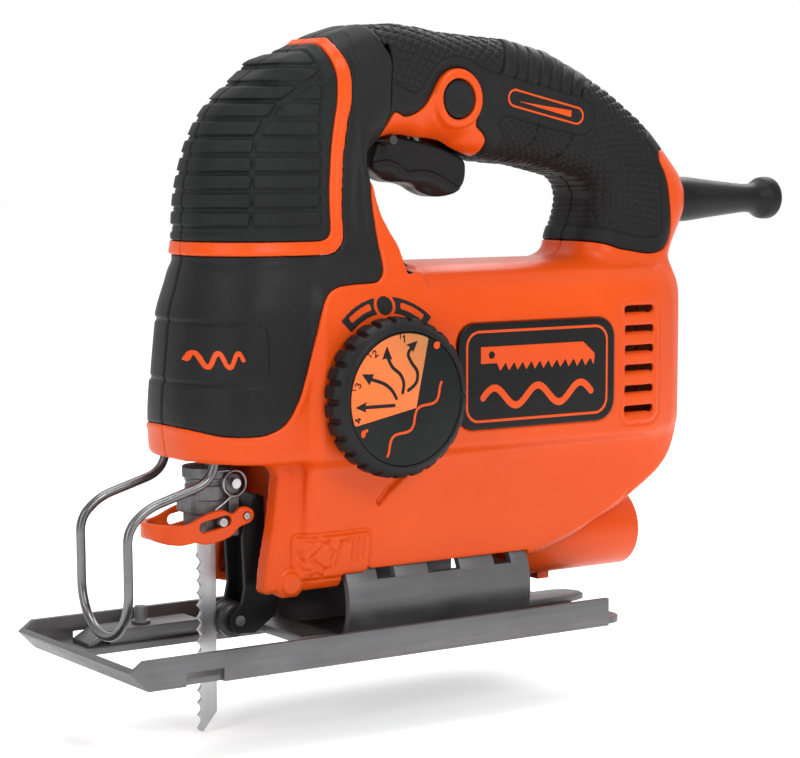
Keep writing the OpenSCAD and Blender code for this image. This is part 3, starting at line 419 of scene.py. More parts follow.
def blurred(plane, outline, spread):
    return plane(lambda a, b: soften(outline_sd(outline, a, b), spread))


def housing(g):
    """The outside of the whole housing as a field; |y| is used, so both sides are alike."""
    ay = np.abs(g.y)
    x, z = g.x, g.z
    sm = 1.2 / g.h
    by_height = lambda curve: lookup(curve, g.z[0, 0, :])[None, None, :]
    # motor body
    side = blurred(g.xz, BODY, sm)
    sec = [(-p[0], p[1]) for p in SECTION[::-1] if p[0] > 0] + SECTION
    section = blurred(g.yz, sec, sm)
    plan = PLAN + [(p[0], -p[1]) for p in PLAN[::-1]]
    top = blurred(g.xy, plan, sm)
    fb = meet(meet(side, section, 2.5), top, 1.5 + 7.5 * ease(x, 148, 178))
    # head
    r = np.maximum(lookup(NOSE, g.z[0, 0, :]), 0.4)[None, None, :]
    rb = by_height(NOSE_SIDE)
    slope = np.gradient(r, g.h, axis=2)
    fx = np.minimum(x - 20, 0)
    q = np.sqrt((fx / r) ** 2 + (ay / rb) ** 2)
    grad = np.sqrt((fx / r ** 2) ** 2 + (ay / rb ** 2) ** 2) / np.maximum(q, 1e-6)
    nose = (q - 1) / np.maximum(grad, 1e-4) / np.sqrt(1 + np.minimum(slope ** 2, 6) * (x < 20))
    nose = np.where(x < 20, nose, ay - rb)
    half = by_height(HEAD_HALF)
    hs = blurred(g.xz, HEAD, sm)
    fh = meet(meet(nose, ay - half, 5.0), hs, 2.2)
    # handle
    gs = blurred(g.xz, GRIP, sm)
    w = 18.3 - 1.1 * bell(x - 120, 30) * ease(z, 150, 160) + 0.6 * ease(x, 150, 175)
    fg = meet(gs, ay - w, 11.5)
    # leg
    ls = blurred(g.xz, LEG, 0.8 / g.h)
    fl = meet(ls, ay - LEG_HALF, 2.0)
    f = join(fb, fh, 3.5)
    f = join(f, fg, 6.0)
    return join(f, fl, 3.0)


def hollow(g, f):
    """The inside of the housing, with its walls over the saddle, the port and behind the arm."""
    x, y, z = g.x, g.y, g.z
    inner = f + WALL
    seat = radius(y, z - TILT_Z) - 27.3
    seat = np.maximum(seat, np.abs(x - 75.7) - 39.8)
    tube = np.maximum(radius(y, z - PORT_Z) - 16.4, 112 - x)
    wall = np.maximum(np.abs(x - 25.5) - 1.3, z - 62)
    return np.maximum(inner, -np.minimum(np.minimum(seat, tube), wall))


def openings(g):
    """Everything that is cut through the mouldings, as one field that is negative in the openings."""
    x, y, z = g.x, g.y, g.z
    ay = np.abs(y)
    box = lambda x0, x1, h, z0, z1: np.maximum(np.maximum(np.abs(x - (x0 + x1) / 2) - (x1 - x0) / 2,
        ay - h), np.abs(z - (z0 + z1) / 2) - (z1 - z0) / 2)
    o = box(-12, 24.2, 13.6, 10, 66)
    o = np.minimum(o, box(-10, 13, 14, 60, 73))
    o = np.minimum(o, np.maximum(radius(y, z - TILT_Z) - 24.8, np.abs(x - 75.5) - 37.5))
    o = np.minimum(o, np.maximum(radius(y, z - PORT_Z) - 14.1, 112 - x))
    o = np.minimum(o, box(60.5, 101.5, 7.4, 140, 172))
    o = np.minimum(o, np.maximum(radius(x - ARM_X, z - ARM_Z) - 2.6, ay - 21.2))
    o = np.minimum(o, np.maximum(radius(y, z - CORD_Z) - 8.2, 185 - x))
    for sx, sz, sy in SCREWS:
        o = np.minimum(o, np.maximum(radius(x - sx, z - sz) - 3.7, sy - 3.4 - y))
    return o


def extract(F, g):
    """The zero surface of a field: points in millimetres, quads and the field's own normals."""
    F = np.clip(F, -4 * g.h, 4 * g.h).astype(np.float32)
    for ax in range(3):
        for end in (0, -1):
            F[tuple(end if k == ax else slice(None) for k in range(3))] = 4 * g.h
    v = openvdb.FloatGrid(float(4 * g.h))
    v.copyFromArray(np.ascontiguousarray(F))
    pts, _, quads = v.convertToPolygons(0.0, 0.0)
    pts = pts.astype(np.float64)
    top = np.array(F.shape) - 2

    def sample(p):
        i = np.clip(np.floor(p).astype(int), 0, top)
        f = np.clip(p - i, 0, 1)
        out = 0
        for k in range(8):
            d = (k & 1, k >> 1 & 1, k >> 2)
            w = np.prod([f[:, q] if d[q] else 1 - f[:, q] for q in range(3)], axis=0)
            out = out + w * F[i[:, 0] + d[0], i[:, 1] + d[1], i[:, 2] + d[2]]
        return out

    nrm = np.stack([sample(pts + np.eye(3)[k] * 0.6) - sample(pts - np.eye(3)[k]
        * 0.6) for k in range(3)], 1)
    nrm /= np.maximum(np.linalg.norm(nrm, axis=1, keepdims=True), 1e-9)
    a, b, c = (pts[quads[:, k]] for k in range(3))
    if np.sum(np.cross(b - a, c - a) * nrm[quads[:, 0]]) < 0:
        quads = quads[:, ::-1]
    return pts * g.h + g.lo, quads, nrm


def flip(part):
    """The same surface on the other side of the seam."""
    p, q, n = part
    s = np.array([1, -1, 1])
    return p * s, q[:, ::-1], n * s


def mesh_of(name, *parts):
    pts = np.concatenate([p[0] for p in parts])
    nrm = np.concatenate([p[2] for p in parts])
    off, quads = 0, []
    for p in parts:
        quads.append(p[1] + off)
        off += len(p[0])
    quads = np.concatenate(quads)
    me = bpy.data.meshes.new(name)
    me.vertices.add(len(pts))
    me.vertices.foreach_set("co", (pts * MM).astype(np.float32).ravel())
    me.loops.add(quads.size)
    me.loops.foreach_set("vertex_index", np.ascontiguousarray(quads).astype(np.int32).ravel())
    me.polygons.add(len(quads))
    me.polygons.foreach_set("loop_start", np.arange(0, quads.size, 4, dtype=np.int32))
    me.polygons.foreach_set("use_smooth", np.ones(len(quads), bool))
    me.update(calc_edges=True)
    me.normals_split_custom_set_from_vertices(nrm.astype(np.float32))
    print(name, len(quads), "quads")
    return link(name, me)


def solid(name, F, g, body, mat, *nodes, slot=None, mirror=False):
    p = extract(F, g)
    return put(mesh_of(name, *([p, flip(p)] if mirror else [p])), body, mat, *nodes, slot=slot)


def groove(d, w, depth):
    """Depth of a groove of width w, at distance d from its middle line."""
    return depth * (1 - ease(np.abs(d), w * 0.35, w * 0.75))


def area(g, p, **kw):
    """Distance to an outline drawn on the side view, negative inside."""
    return g.xz(sd(p, **kw))


def along(g, line):
    """Distance to an open line drawn on the side view."""
    return g.xz(lambda a, b: line_sd(line, a, b))


def carve(g, line, w, depth):
    """Depth of a groove that follows a line on the side view."""
    return g.xz(lambda a, b: groove(line_sd(line, a, b), w, depth))


def openings_right(g):
    flipped = Grid.__new__(Grid)
    flipped.__dict__ = dict(g.__dict__)
    flipped.y = -g.y
    return openings(flipped)


def round_rect(g, x0, x1, z0, z1, r):
    cx, cz, hx, hz = (x0 + x1) / 2, (z0 + z1) / 2, (x1 - x0) / 2 - r, (z1 - z0) / 2 - r
    dx, dz = np.abs(g.x - cx) - hx, np.abs(g.z - cz) - hz
    return np.sqrt(np.maximum(dx, 0) ** 2 + np.maximum(dz, 0) ** 2) + np.minimum(np.maximum(dx, dz),
        0) - r


def orange_half(right):
    """One orange half of the housing, with its vents, its lines and its seats."""
    g = Grid((-17, -34, 19), (194, 0.9, 199), spacing(0.62))
    f = housing(g)
    x, y, z = g.x, g.y, g.z
    inner = hollow(g, f)
    detail = 0
    ay = -y
    flank = ease(ay, 20, 24)
    # frame round the air inlets, and the lines that run down the flank
    vent = round_rect(g, 145.2, 164.2, 67.4, 111.2, 5)
    detail = detail + flank * groove(vent + 0.3, 1.0, 0.45)
    vin = round_rect(g, 147.2, 161.8, 69.8, 109.2, 3.5)
    detail = detail + flank * 0.5 * (1 - ease(vin, -0.6, 0.4))
    line = smooth_line([(67.8, 59.4), (60.5, 57.8), (54.3, 52.8), (50.2, 48.4)], closed=False)
    detail = detail + flank * carve(g, line, 1.9, 1.4)
    seam3 = smooth_line([(128, 127), (136, 128.4), (140, 130)], closed=False)
    detail = detail + carve(g, seam3, 0.8, 0.35)
    rear = smooth_line([(156, 43.6), (152, 39.6), (143, 34.6), (134.5, 31.2), (124, 27.4), (114.5, 24.4)],
        closed=False)
    detail = detail + carve(g, rear, 0.9, 0.4)
    # raised edge along the black cover, and the belt above it
    cover = area(g, COVER, k=4)
    detail = detail - 0.35 * bell(cover - 1.2, 1.1) * ease(z, 66, 70)
    # panel with the cutting marks on the leg
    panel = round_rect(g, 19.6, 47.6, 24.2, 39.2, 2.5)
    legside = ease(ay, 14, 18)
    detail = detail + legside * (groove(panel, 1.0, 0.6) - 0.3 * (1 - ease(panel, -0.8, 0)))
    marks = [[(31, 36.5), (24.5, 31.5), (31, 27)], [(36.2, 36.2), (34.4, 27.2)],
        [(36.2, 36.2), (39.4, 36.6)], [(41, 36.6), (41, 30)], [(43, 36.8), (43, 30)],
        [(45, 37), (45, 31)]]
    for mk in marks:
        detail = detail + legside * carve(g, mk, 1.0, 0.7)
    cloud = radius(x - 27.5, z - 31.5) - 5.8 - 0.7 * np.sin(9 * np.arctan2(z - 31.5, x - 27.5))
    detail = detail + legside * groove(cloud, 1.0, 0.6)
    outer = f + np.minimum(detail, 1.5)
    s = cut(outer, inner, 0.3)
    o = openings_right(g) if right else openings(g)
    s = cut(s, o, 0.4)
    # black mouldings are separate pieces
    pad, grip = area(g, PAD, k=4), area(g, GRIP_AREA, k=4)
    bez = area(g, BEZEL, k=4)
    dark = np.minimum(np.minimum(cover, pad), np.minimum(grip, bez)) - 0.03
    dark = np.minimum(dark, area(g, [(51, 158), (64, 158), (64, 215), (46, 215), (46, 203)]))
    s = cut(s, dark, 0.35)
    # air inlets
    for zz in (72.3, 79.3, 86.5, 93.3, 100.2, 107.0):
        slot_ = round_rect(g, 147.6, 161.4, zz - 1.75, zz + 1.75, 1.1)
        # each inlet is a louvre: deep along its top edge and shallow at the bottom
        slot_ = np.maximum(np.maximum(slot_, 22 - ay), -f - 0.6 - 1.1 * np.clip(z - zz + 1.75, 0, 4))
        s = cut(s, slot_, 0.5)
    # boss at the pivot of the roller's arm
    rr = radius(x - ARM_X, z - ARM_Z)
    boss = meet(rr - 5.2, np.abs(ay - 18.9) - 2.5, 1.0)
    boss = join(boss, meet(rr - 3.6, np.abs(ay - 19.7) - 2.8, 0.5), 0.5)
    s = join(s, boss, 0.8)
    s = np.maximum(s, -np.maximum(rr - 2.6, ay - 21.85))
    if not right:
        badge = round_rect(g, 75.9, 142.1, 69.9, 105.6, 7)
        s = cut(s, np.maximum(badge, 31.1 - ay), 0.35)
    # guard's legs pass the skirt
    s = cut(s, np.maximum(radius(x - GUARD_X, ay - GUARD_Y) - 1.75, np.abs(z - 66) - 12), 0.2)
    s = meet(s, y + 0.06, 0.3)
    part = extract(s, g)
    return flip(part) if right else part


def make_housing():
    for side, right in (("left", False), ("right", True)):
        put(mesh_of("housing_%s_shell" % side, orange_half(right)), "housing", "orange_plastic",
            "housing_" + side, slot="orange_plastic")


def make_cover():
    g = Grid((-17, -32.6, 70), (62, 0.9, 206), spacing(0.62))
    f = housing(g)
    x, y, z = g.x, g.y, g.z
    inner = hollow(g, f)
    cover, pad, grip = area(g, COVER, k=4), area(g, PAD, k=4), area(g, GRIP_AREA, k=4)
    # the column is drawn in along the band, up to its crease, and below the band there is a step
    up = ease(z, 134, 142)
    detail = 0.75 * up * bell(np.minimum(-cover, 12) - 3.0, 2.6) * ease(-y, 8, 14) * (x < 46)
    detail = detail + 0.9 * bell(z - 127.2, 2.2) * (1 - ease(x, 24, 34))
    detail = detail + groove(y, 0.9, 0.5)
    # a smooth plate wraps the front low down
    plate = round_rect(g, -60, 7.1, 89.2, 108.4, 4.5)
    detail = detail + groove(plate, 1.1, 0.8) + 0.3 * (1 - ease(plate, -0.4, 0.4))
    outer = f + np.minimum(detail, 1.45)
    s = cut(outer, inner, 0.3)
    s = meet(s, cover + 0.05, 0.4)
    s = cut(s, pad - 0.12, 0.3)
    s = np.maximum(s, -(grip - 0.04))
    s = cut(s, openings(g), 0.4)
    s = cut(s, np.maximum(radius(x - GUARD_X, -y - GUARD_Y) - 1.75, z - 78), 0.2)
    s = meet(s, y + 0.03, 0.2)
    solid("front_cover_shell", s, g, "housing", "black_plastic", "front_cover", slot="black_plastic",
        mirror=True)


ROWS = [(138.6, 142.6), (144.4, 148.4), (150.1, 154.1), (155.7, 159.7), (161.4, 165.3), (167, 171),
    (172.7, 176.7), (178.3, 182.2), (184.0, 187.8), (189.6, 193.2), (195, 197.6)]


def make_pad():
    g = Grid((-12.4, -29, 131), (41, 0.9, 201), spacing(0.42))
    f = housing(g)
    x, y, z = g.x, g.y, g.z
    inner = hollow(g, f)
    pad = area(g, PAD, k=4)
    frame_ = pad + 3.7 + 2.3 * ease(z, 158, 178)   # inside edge of the plain border
    split = smooth_line([(4.2, 120), (4.4, 138), (4.8, 143), (5.7, 151), (6.7, 158), (8.3, 163.6),
        (11, 167.9), (15.2, 171.9), (19.2, 175.8), (24.3, 179.8), (30.5, 184.3), (37, 189)], closed=False)
    cutline = along(g, split)
    wide = 0.6 + 0.65 * ease(z, 163, 170)
    rows = np.full(np.broadcast(x, z).shape, 9.0, np.float32)
    for a, b in ROWS:
        rows = np.minimum(rows, np.abs(z - (a + b) / 2) - (b - a) / 2)
    # raised bars: rows inside the frame, parted by the split, with rounded ends
    bars = np.sqrt(np.maximum(rows + 0.7, 0) ** 2 + np.maximum(np.maximum(wide - cutline, frame_) + 0.7,
        0) ** 2) - 0.7
    sink = 0.65 * ease(bars, -0.1, 0.4) + 0.5 * (1 - ease(np.abs(bars - 0.3), 0.12, 0.42))
    border = ease(frame_, 0.3, 1.0)
    sink = sink * (1 - border)
    detail = sink + groove(y, 0.8, 0.45) + groove(frame_ - 0.8, 0.8, 0.4)
    # soft dip along the diagonal of the split
    detail = detail + 0.35 * bell(cutline, 2.4) * ease(z, 163, 172)
    outer = f + 0.15 + np.minimum(detail, 1.5)
    s = cut(outer, inner, 0.3)
    s = meet(s, pad + 0.12, 0.8)
    s = meet(s, y + 0.03, 0.2)
    solid("head_pad_shell", s, g, "housing", "rubber_pad", "head_pad", slot="rubber_pad", mirror=True)


TOPLINE = [(104.7, 187.7), (111, 186.4), (115.6, 185.3), (121.1, 184.3), (125.3, 183.5), (130, 182.2),
    (134.8, 181.3), (139.1, 180.5)]
TOPMID = [(107.3, 194.2), (112.7, 193), (117.3, 191.8), (122.4, 190.6), (127.1, 189), (131.3, 187.3),
    (135.9, 185.6), (140.9, 183.4)]
TOPEND = [(110.7, 201.4), (115.6, 200.4), (121, 198.9), (126.8, 197), (132.5, 194.9), (137.7, 192.8),
    (142.5, 190.6), (147.4, 188)]
KNURL1 = [(52.8, 207), (54.6, 199), (56.4, 192.3), (58, 187.4), (61, 184.2), (64.9, 182.3), (69.2, 181),
    (71.6, 181.5), (73.3, 184), (75.7, 187.6), (79.1, 190.8), (83.1, 192.5), (88, 192.8), (92, 191.8),
    (96.1, 189.8), (101, 188.4), (104.7, 187.7), (107.3, 194.2), (110.7, 201.4), (111, 207)]
KNURL2 = [(139.1, 180.5), (142.7, 178), (144.6, 174.6), (144.1, 171.2), (141.9, 168.5), (138.4, 167.6),
    (135.4, 168), (121.2, 170.7), (108.6, 173.6), (105.7, 173.5), (104.1, 171.9), (104.2, 170),
    (105.7, 167.6), (105.9, 164.3), (104.5, 161.7), (101.2, 159), (96, 156), (100, 148), (125, 145),
    (134, 139), (130, 136.7), (136.5, 137), (144.9, 136.1), (153.7, 134.3), (163.6, 132.1),
    (170.9, 131.7), (173.2, 132.1), (174.5, 133.9), (174.6, 140), (173.8, 151.9), (171.8, 160.9),
    (167.7, 166), (172, 172.5), (150, 196), (147.4, 188), (140.9, 183.4)]


def make_grip():
    g = Grid((52, -19.6, 124), (180.5, 0.6, 206), spacing(0.36))
    f = housing(g)
    x, y, z = g.x, g.y, g.z
    inner = hollow(g, f)
    grip, bez = area(g, GRIP_AREA, k=4), area(g, BEZEL, k=4)
    k1, k2 = area(g, KNURL1, k=3), area(g, KNURL2, k=3)
    rho = radius(x - 104, z - 92)
    arc = np.arctan2(x - 104, z - 92) * 84
    u, v = rho + arc * 0.9, rho - arc * 0.9
    net = lambda q, p: np.abs((q / p) % 1 - 0.5) * p
    knurl = np.maximum(groove(net(u, 3.1), 0.75, 0.42), groove(net(v, 3.1), 0.75, 0.42))
    inside = 1 - ease(np.minimum(k1, k2), -1.3, -0.7)
    line = groove(np.minimum(np.abs(k1), np.abs(k2)), 0.8, 0.5)
    detail = 0.25 * (1 - ease(np.minimum(k1, k2), -0.3, 0.5)) + inside * knurl + line
    # bars over the top, each swelling between two curved grooves
    swell = 0
    for a, b, c in zip(TOPLINE, TOPMID, TOPEND):
        seg = smooth_line([a, b, c, (c[0] + 2, c[1] + 6)], closed=False)
        d = along(g, seg)
        detail = detail + groove(d, 1.0, 0.75)
        swell = swell + 0.5 * bell(d, 2.2)
    base = g.xz(lambda p, q: line_sd(smooth_line(TOPLINE, closed=False), p, q))
    detail = detail + groove(base, 0.9, 0.5)
    top = area(g, TOPLINE + TOPEND[::-1])
    detail = detail + swell * (1 - ease(top, -1, 0.5)) - 0.3 * (1 - ease(top, -3, 0.5))
    for gl in ([(121.1, 170.4), (118.7, 165), (113.7, 160.3), (108, 156)],
            [(135.8, 167.4), (133.3, 163), (129, 158.3), (123.9, 154)]):
        ln = smooth_line(gl, closed=False)
        detail = detail + carve(g, ln, 0.9, 0.6)
    # the plain ground round the bezel steps down to it
    detail = detail + 0.7 * (1 - ease(bez, 0.3, 2.6))
    detail = detail + groove(y, 0.8, 0.4) * ease(x, 60, 70)
    outer = f + np.minimum(detail, 1.45)
    s = cut(outer, inner, 0.3)
    s = meet(s, grip + 0.12, 0.9)
    s = meet(s, -(bez - 0.12), 0.3)
    o = openings(g)
    s = cut(s, o, 0.4)
    s = meet(s, y + 0.03, 0.2)
    solid("handle_grip_shell", s, g, "housing", "rubber_grip", "handle_grip", slot="rubber_grip",
        mirror=True)


def make_bezel():
    g = Grid((57, -21, 148), (102, 0.6, 191.5), spacing(0.4))
    f = housing(g)
    x, y, z = g.x, g.y, g.z
    inner = hollow(g, f)
    bez = area(g, BEZEL, k=4)
    rr = radius(x - BUTTON_X, z - BUTTON_Z)
    parts = []
    for right in (False, True):
        raised = 1.5 * (1 - ease(rr, 9.0, 10.4))
        saddle_ = 1.1 * bell(rr - 13.2, 2.4) * ease(BUTTON_Z - z, 2, 8)
        outer = f + 0.1 - raised + saddle_ * 0.8
        s = cut(outer, inner, 0.3)
        s = meet(s, bez + 0.12, 0.8)
        s = cut(s, openings(g), 0.5)
        if not right:
            s = cut(s, rr - 6.75, 0.9)
        else:
            # a shallow blind cup balances the button's ring
            s = cut(s, np.maximum(rr - 6.75, 17.6 + y), 0.6)
        s = meet(s, y + 0.03, 0.2)
        p = extract(s, g)
        parts.append(flip(p) if right else p)
    put(mesh_of("trigger_bezel_shell", *parts), "housing", "orange_plastic", "trigger_bezel",
        slot="orange_plastic")


make_housing()
make_cover()
make_pad()
make_grip()
make_bezel()


# ------------------------------------------------------------------ shapes for the smaller pieces


def sharp(me, deg=38):
    me.polygons.foreach_set("use_smooth", np.ones(len(me.polygons), bool))
    me.set_sharp_from_angle(angle=math.radians(deg))
    return me


def from_bmesh(name, bm, deg=38):
    me = bpy.data.meshes.new(name)
    bm.to_mesh(me)
    bm.free()
    return link(name, sharp(me, deg))


def rounded(p, r, closed=True, k=4):
    """The line with its corners rounded."""
    out, n = [], len(p)
    for i in range(n):
        b = np.array(p[i], float)
        if not closed and i in (0, n - 1):
            out.append(tuple(b))
            continue
        a, c = np.array(p[i - 1], float), np.array(p[(i + 1) % n], float)
        la, lc = np.linalg.norm(a - b), np.linalg.norm(c - b)
        q = min(r, la * 0.48, lc * 0.48)
        s, e = b + (a - b) / la * q, b + (c - b) / lc * q
        out += [tuple(s * (1 - t) ** 2 + 2 * b * t * (1 - t) + e * t * t) for t in np.arange(k + 1) / k]
    return out


AXES = {"x": lambda r, t, a: (t, r * np.cos(a), r * np.sin(a)),
    "y": lambda r, t, a: (r * np.sin(a), t, r * np.cos(a)),
    "z": lambda r, t, a: (r * np.cos(a), r * np.sin(a), t)}


def lathe(name, profile, axis, centre, n=72, deg=38):
    """A turned piece; the profile is a closed list of (radius, place along the axis)."""
    pr = np.array(profile, float)
    a = np.linspace(0, 2 * np.pi, n, endpoint=False)
    m = len(pr)
    P = np.stack(AXES[axis](pr[:, None, 0], pr[:, None, 1] + 0 * a[None], a[None]), -1) + np.array(centre,
        float)
    bm = bmesh.new()
    vs = [[bm.verts.new(P[i, j] * MM) for j in range(n)] for i in range(m)]
    for i in range(m):
        i2 = (i + 1) % m
        if pr[i, 0] < 1e-6 and pr[i2, 0] < 1e-6:
            continue
        for j in range(n):
            bm.faces.new((vs[i][j], vs[i2][j], vs[i2][(j + 1) % n], vs[i][(j + 1) % n]))
    bmesh.ops.remove_doubles(bm, verts=bm.verts, dist=1e-7)
    bmesh.ops.dissolve_degenerate(bm, edges=bm.edges, dist=1e-8)
    bmesh.ops.recalc_face_normals(bm, faces=bm.faces)
    return from_bmesh(name, bm, deg)


def tube(name, path, r, n=18):
    """A round wire along a path in space."""
    P = np.array(path, float)
    T = np.gradient(P, axis=0)
    T /= np.linalg.norm(T, axis=1, keepdims=True)
    u = np.cross(T[0], (0.31, 0.17, 0.93))
    bm, rings = bmesh.new(), []
    for p, t in zip(P, T):
        u = u - t * np.dot(u, t)
        u /= np.linalg.norm(u)
        v = np.cross(t, u)
        rings.append([bm.verts.new((p + r * (u * math.cos(q) + v * math.sin(q)))
            * MM) for q in np.arange(n) * 2 * math.pi / n])
    for a, b in zip(rings[:-1], rings[1:]):
        for j in range(n):
            bm.faces.new((a[j], a[(j + 1) % n], b[(j + 1) % n], b[j]))
    bm.faces.new(rings[0][::-1])
    bm.faces.new(rings[-1])
    bmesh.ops.recalc_face_normals(bm, faces=bm.faces)
    return from_bmesh(name, bm, 50)


def bevelled(node, body, mat, width):
    """A copy of a CAD node with its edges broken."""
    src = NODE[node]
    me = src.data.copy()
    bm = bmesh.new()
    bm.from_mesh(me)
    bm.transform(src.matrix_world)
    bmesh.ops.remove_doubles(bm, verts=bm.verts, dist=2e-6)
    bmesh.ops.dissolve_limit(bm, angle_limit=math.radians(1.5), verts=bm.verts, edges=bm.edges)
    ed = [e for e in bm.edges if len(e.link_faces) == 2 and e.calc_face_angle(0) > math.radians(35)]
    bmesh.ops.bevel(bm, geom=ed, offset=width * MM, segments=3, profile=0.5, affect="EDGES",
        clamp_overlap=True)
    o = from_bmesh(node + "_worn", bm, 30)
    return put(o, body, mat, node)


def lines(g, strokes, w):
    """Distance to a set of strokes drawn on the side view, less half their width."""
    d = 99.0
    for s in strokes:
        d = np.minimum(d, along(g, s))
    return d - w


def wave(x0, x1, zc, amp, turns, tilt=0.0):
    t = np.linspace(0, 1, 60)
    return [(x0 + (x1 - x0) * q, zc + tilt * q + amp * math.sin(q * 2 * math.pi * turns)) for q in t]


def decal(name, lo, hi, region, mat, lift=0.12, depth=0.5, slot=None, h=0.3, nodes=(), edge=0.12):
    """A thin marking or plate that follows the surface of the housing."""
    g = Grid(lo, hi, spacing(h))
    f = housing(g)
    return solid(name, meet(meet(f - lift, -(f + depth), 0.05), region(g), edge), g, "housing", mat,
        *nodes, slot=slot)


# ------------------------------------------------------------------ dial

DX, DZ = 49.2, 83.4


def on_dial(points):
    """Points given from the dial's centre, in the frame of the model."""
    return [(p[0] + DX, p[1] + DZ) for p in points]


def make_dial():
    g = Grid((DX - 27, -42.8, DZ - 27), (DX + 27, -32.4, DZ + 27), spacing(0.36))
    dx, dz, t = g.x - DX, g.z - DZ, -g.y
    r, a = radius(dx, dz), np.arctan2(dz, dx)
    pitch = 2 * math.pi / 26
    arc = np.abs((a / pitch) % 1 - 0.5) * pitch * r
    core = meet(meet(r - 24.5, np.abs(t - 37.6) - 4.45, 0.5), (r - 24.5 + (t - 40.4) * 1.1) * 0.7, 0.5)
    lug = meet(meet(meet(r - 25.9, np.abs(t - 36.9) - 3.6, 0.4), arc - 2.15, 0.45),
        (r - 25.9 + (t - 38.6) * 0.8) * 0.78, 0.4)
    f = join(core, lug, 0.4)
    f = cut(f, np.maximum(r - 21.55, 40.75 - t), 0.2)
    notch = np.maximum(np.abs(dz) - 0.55 - 0.5 * (1 - ease(dx, 21.4, 23)), 41.4 - t)
    f = cut(f, np.maximum(notch, np.maximum(21 - dx, dx - 23.6)), 0.15)
    f = cut(f, r - 3.5, 0.1)
    solid("dial_rim", f, g, "dial", "dial_plastic", "dial_knob", slot="dial_plastic")
    disc = rounded([(0, -40.8), (21.4, -40.8), (21.4, -41.65), (0, -41.65)], 0.2)
    put(lathe("dial_disc", disc, "y", (DX, 0, DZ), 96), "dial", "dial_black", "dial_face")
    g = Grid((DX - 21.4, -42.1, DZ - 21.4), (DX + 21.4, -41.35, DZ + 21.4), spacing(0.14))
    dx, dz, t = g.x - DX, g.z - DZ, -g.y
    r = radius(dx, dz)
    wedge = [(3.9, -3.1), (8.6, 19.1), (9.5, 30), (-40, 30), (-40, -11.6), (-19.5, -7.7)]
    sec = area(g, on_dial(wedge))
    flat = lambda lift: np.abs(t - 41.45 - lift / 2) - 0.2 - lift / 2
    solid("dial_sector", meet(meet(sec, r - 20.9, 0.5), flat(0.14), 0.05), g, "dial", "dial_face")
    arrows = [([(-4.8, -1.8), (-15.8, -1.8)], (-19.6, -1.7), (-15.1, 0.0), (-15.3, -3.5)),
        ([(-3.9, 0.4), (-5.6, 3), (-8.6, 5.3), (-13.3, 6.9)], (-17.1, 8.8), (-12.4, 8.6), (-14.1, 5.0)),
        ([(-1.5, 2.1), (-1.1, 5.0), (-2.4, 7.9), (-5.4, 10.4), (-7.2, 13.4)], (-7.5, 17.3), (-9.4, 12.9),
        (-5.4, 12.7)), ([(0.7, 2.7), (3.7, 5.0), (4.1, 8.5), (1.9, 11.5), (0.6, 14.2), (1.8, 16.2)],
        (4.3, 18.4), (-0.3, 17.3), (2.5, 14.6))]
    black = 99.0
    for shaft, tip, b1, b2 in arrows:
        ln = on_dial(smooth_line(shaft, closed=False))
        black = np.minimum(black, along(g, ln) - 0.58)
        head = on_dial([tip, b1, shaft[-1], b2])
        black = np.minimum(black, area(g, head))
    digits = {1: [[(-0.45, 0.7), (0.05, 1.1), (0.05, -1.1)]],
        2: [[(-0.65, 0.6), (-0.2, 1.1), (0.4, 1.0), (0.6, 0.45), (0.3, -0.1), (-0.7, -1.05),
        (0.75, -1.05)]], 3: [[(-0.6, 0.9), (0, 1.1), (0.55, 0.6), (0.0, 0.05), (0.65, -0.5), (0.05, -1.1),
        (-0.65, -0.8)]], 4: [[(0.35, -1.1), (0.35, 1.1), (-0.75, -0.4), (0.8, -0.4)]]}
    for n, (cx, cz), rot in ((1, (-0.9, 19.2), 2), (2, (-12.0, 15.0), 38), (3, (-18.4, 5.3), 70),
            (4, (-18.5, -5.8), 92)):
        c, s = math.cos(math.radians(rot)), math.sin(math.radians(rot))
        for st in digits[n]:
            ln = [(DX + cx + p[0] * c - p[1] * s, DZ + cz + p[0] * s + p[1] * c) for p in st]
            black = np.minimum(black, along(g, ln) - 0.24)
    for p, q in (((-2.4, 21), (-2.4, 19.3)), ((-14.6, 15.1), (-13.4, 14)), ((-20.5, 4.0), (-19.3, 3.8))):
        ln = on_dial([p, q])
        black = np.minimum(black, along(g, ln) - 0.2)
    solid("dial_marks", meet(black, flat(0.24), 0.04), g, "dial", "dial_black")
    # slow and fast signs, and a plain curve in place of lettering
    orange = 99.0
    for cx, cz, ux in ((11.8, 16.6, 1.0), (-16.4, -10.2, 0.7)):
        orange = np.minimum(orange, np.sqrt(((g.x - DX - cx) / ux) ** 2 + (g.z - DZ - cz) ** 2) - 1.25)
        orange = np.minimum(orange, np.sqrt((g.x - DX - cx - 1.2) ** 2 + (g.z - DZ - cz - 1.0) ** 2)
            - 0.62)
    tt = np.linspace(-1, 1, 70)
    curve = [(DX + 3.2 + 11.5 * q - 1.5 * math.sin(q * 7.5) * 0.75,
        DZ - 6.6 + 10.2 * q + 1.5 * math.sin(q * 7.5) * 0.75) for q in tt]
    orange = np.minimum(orange, along(g, curve) - 0.45)
    solid("dial_signs", meet(orange, flat(0.16), 0.04), g, "dial", "print_orange")


make_dial()


# ------------------------------------------------------------------ plate and markings on the housing


def pointer_region(g):
    dx, dz = g.x - 48.6, g.z - 90.6
    r, a = radius(dx, dz), np.abs(np.arctan2(dx, dz))
    ring = np.sqrt((g.x - 48.3) ** 2 + ((g.z - 112.6) * 1.03) ** 2)
    band = meet(np.abs(r - 22.2) - 2.6, (a - 0.78) * r, 0.5)
    slot_ = meet(np.abs(r - 22.5) - 1.0, np.maximum((0.26 - a) * r, (a - 0.67) * r), 0.4)
    band = cut(cut(band, slot_, 0.1), ring - 4.1, 0.1)
    return np.minimum(band, ring - 3.1)


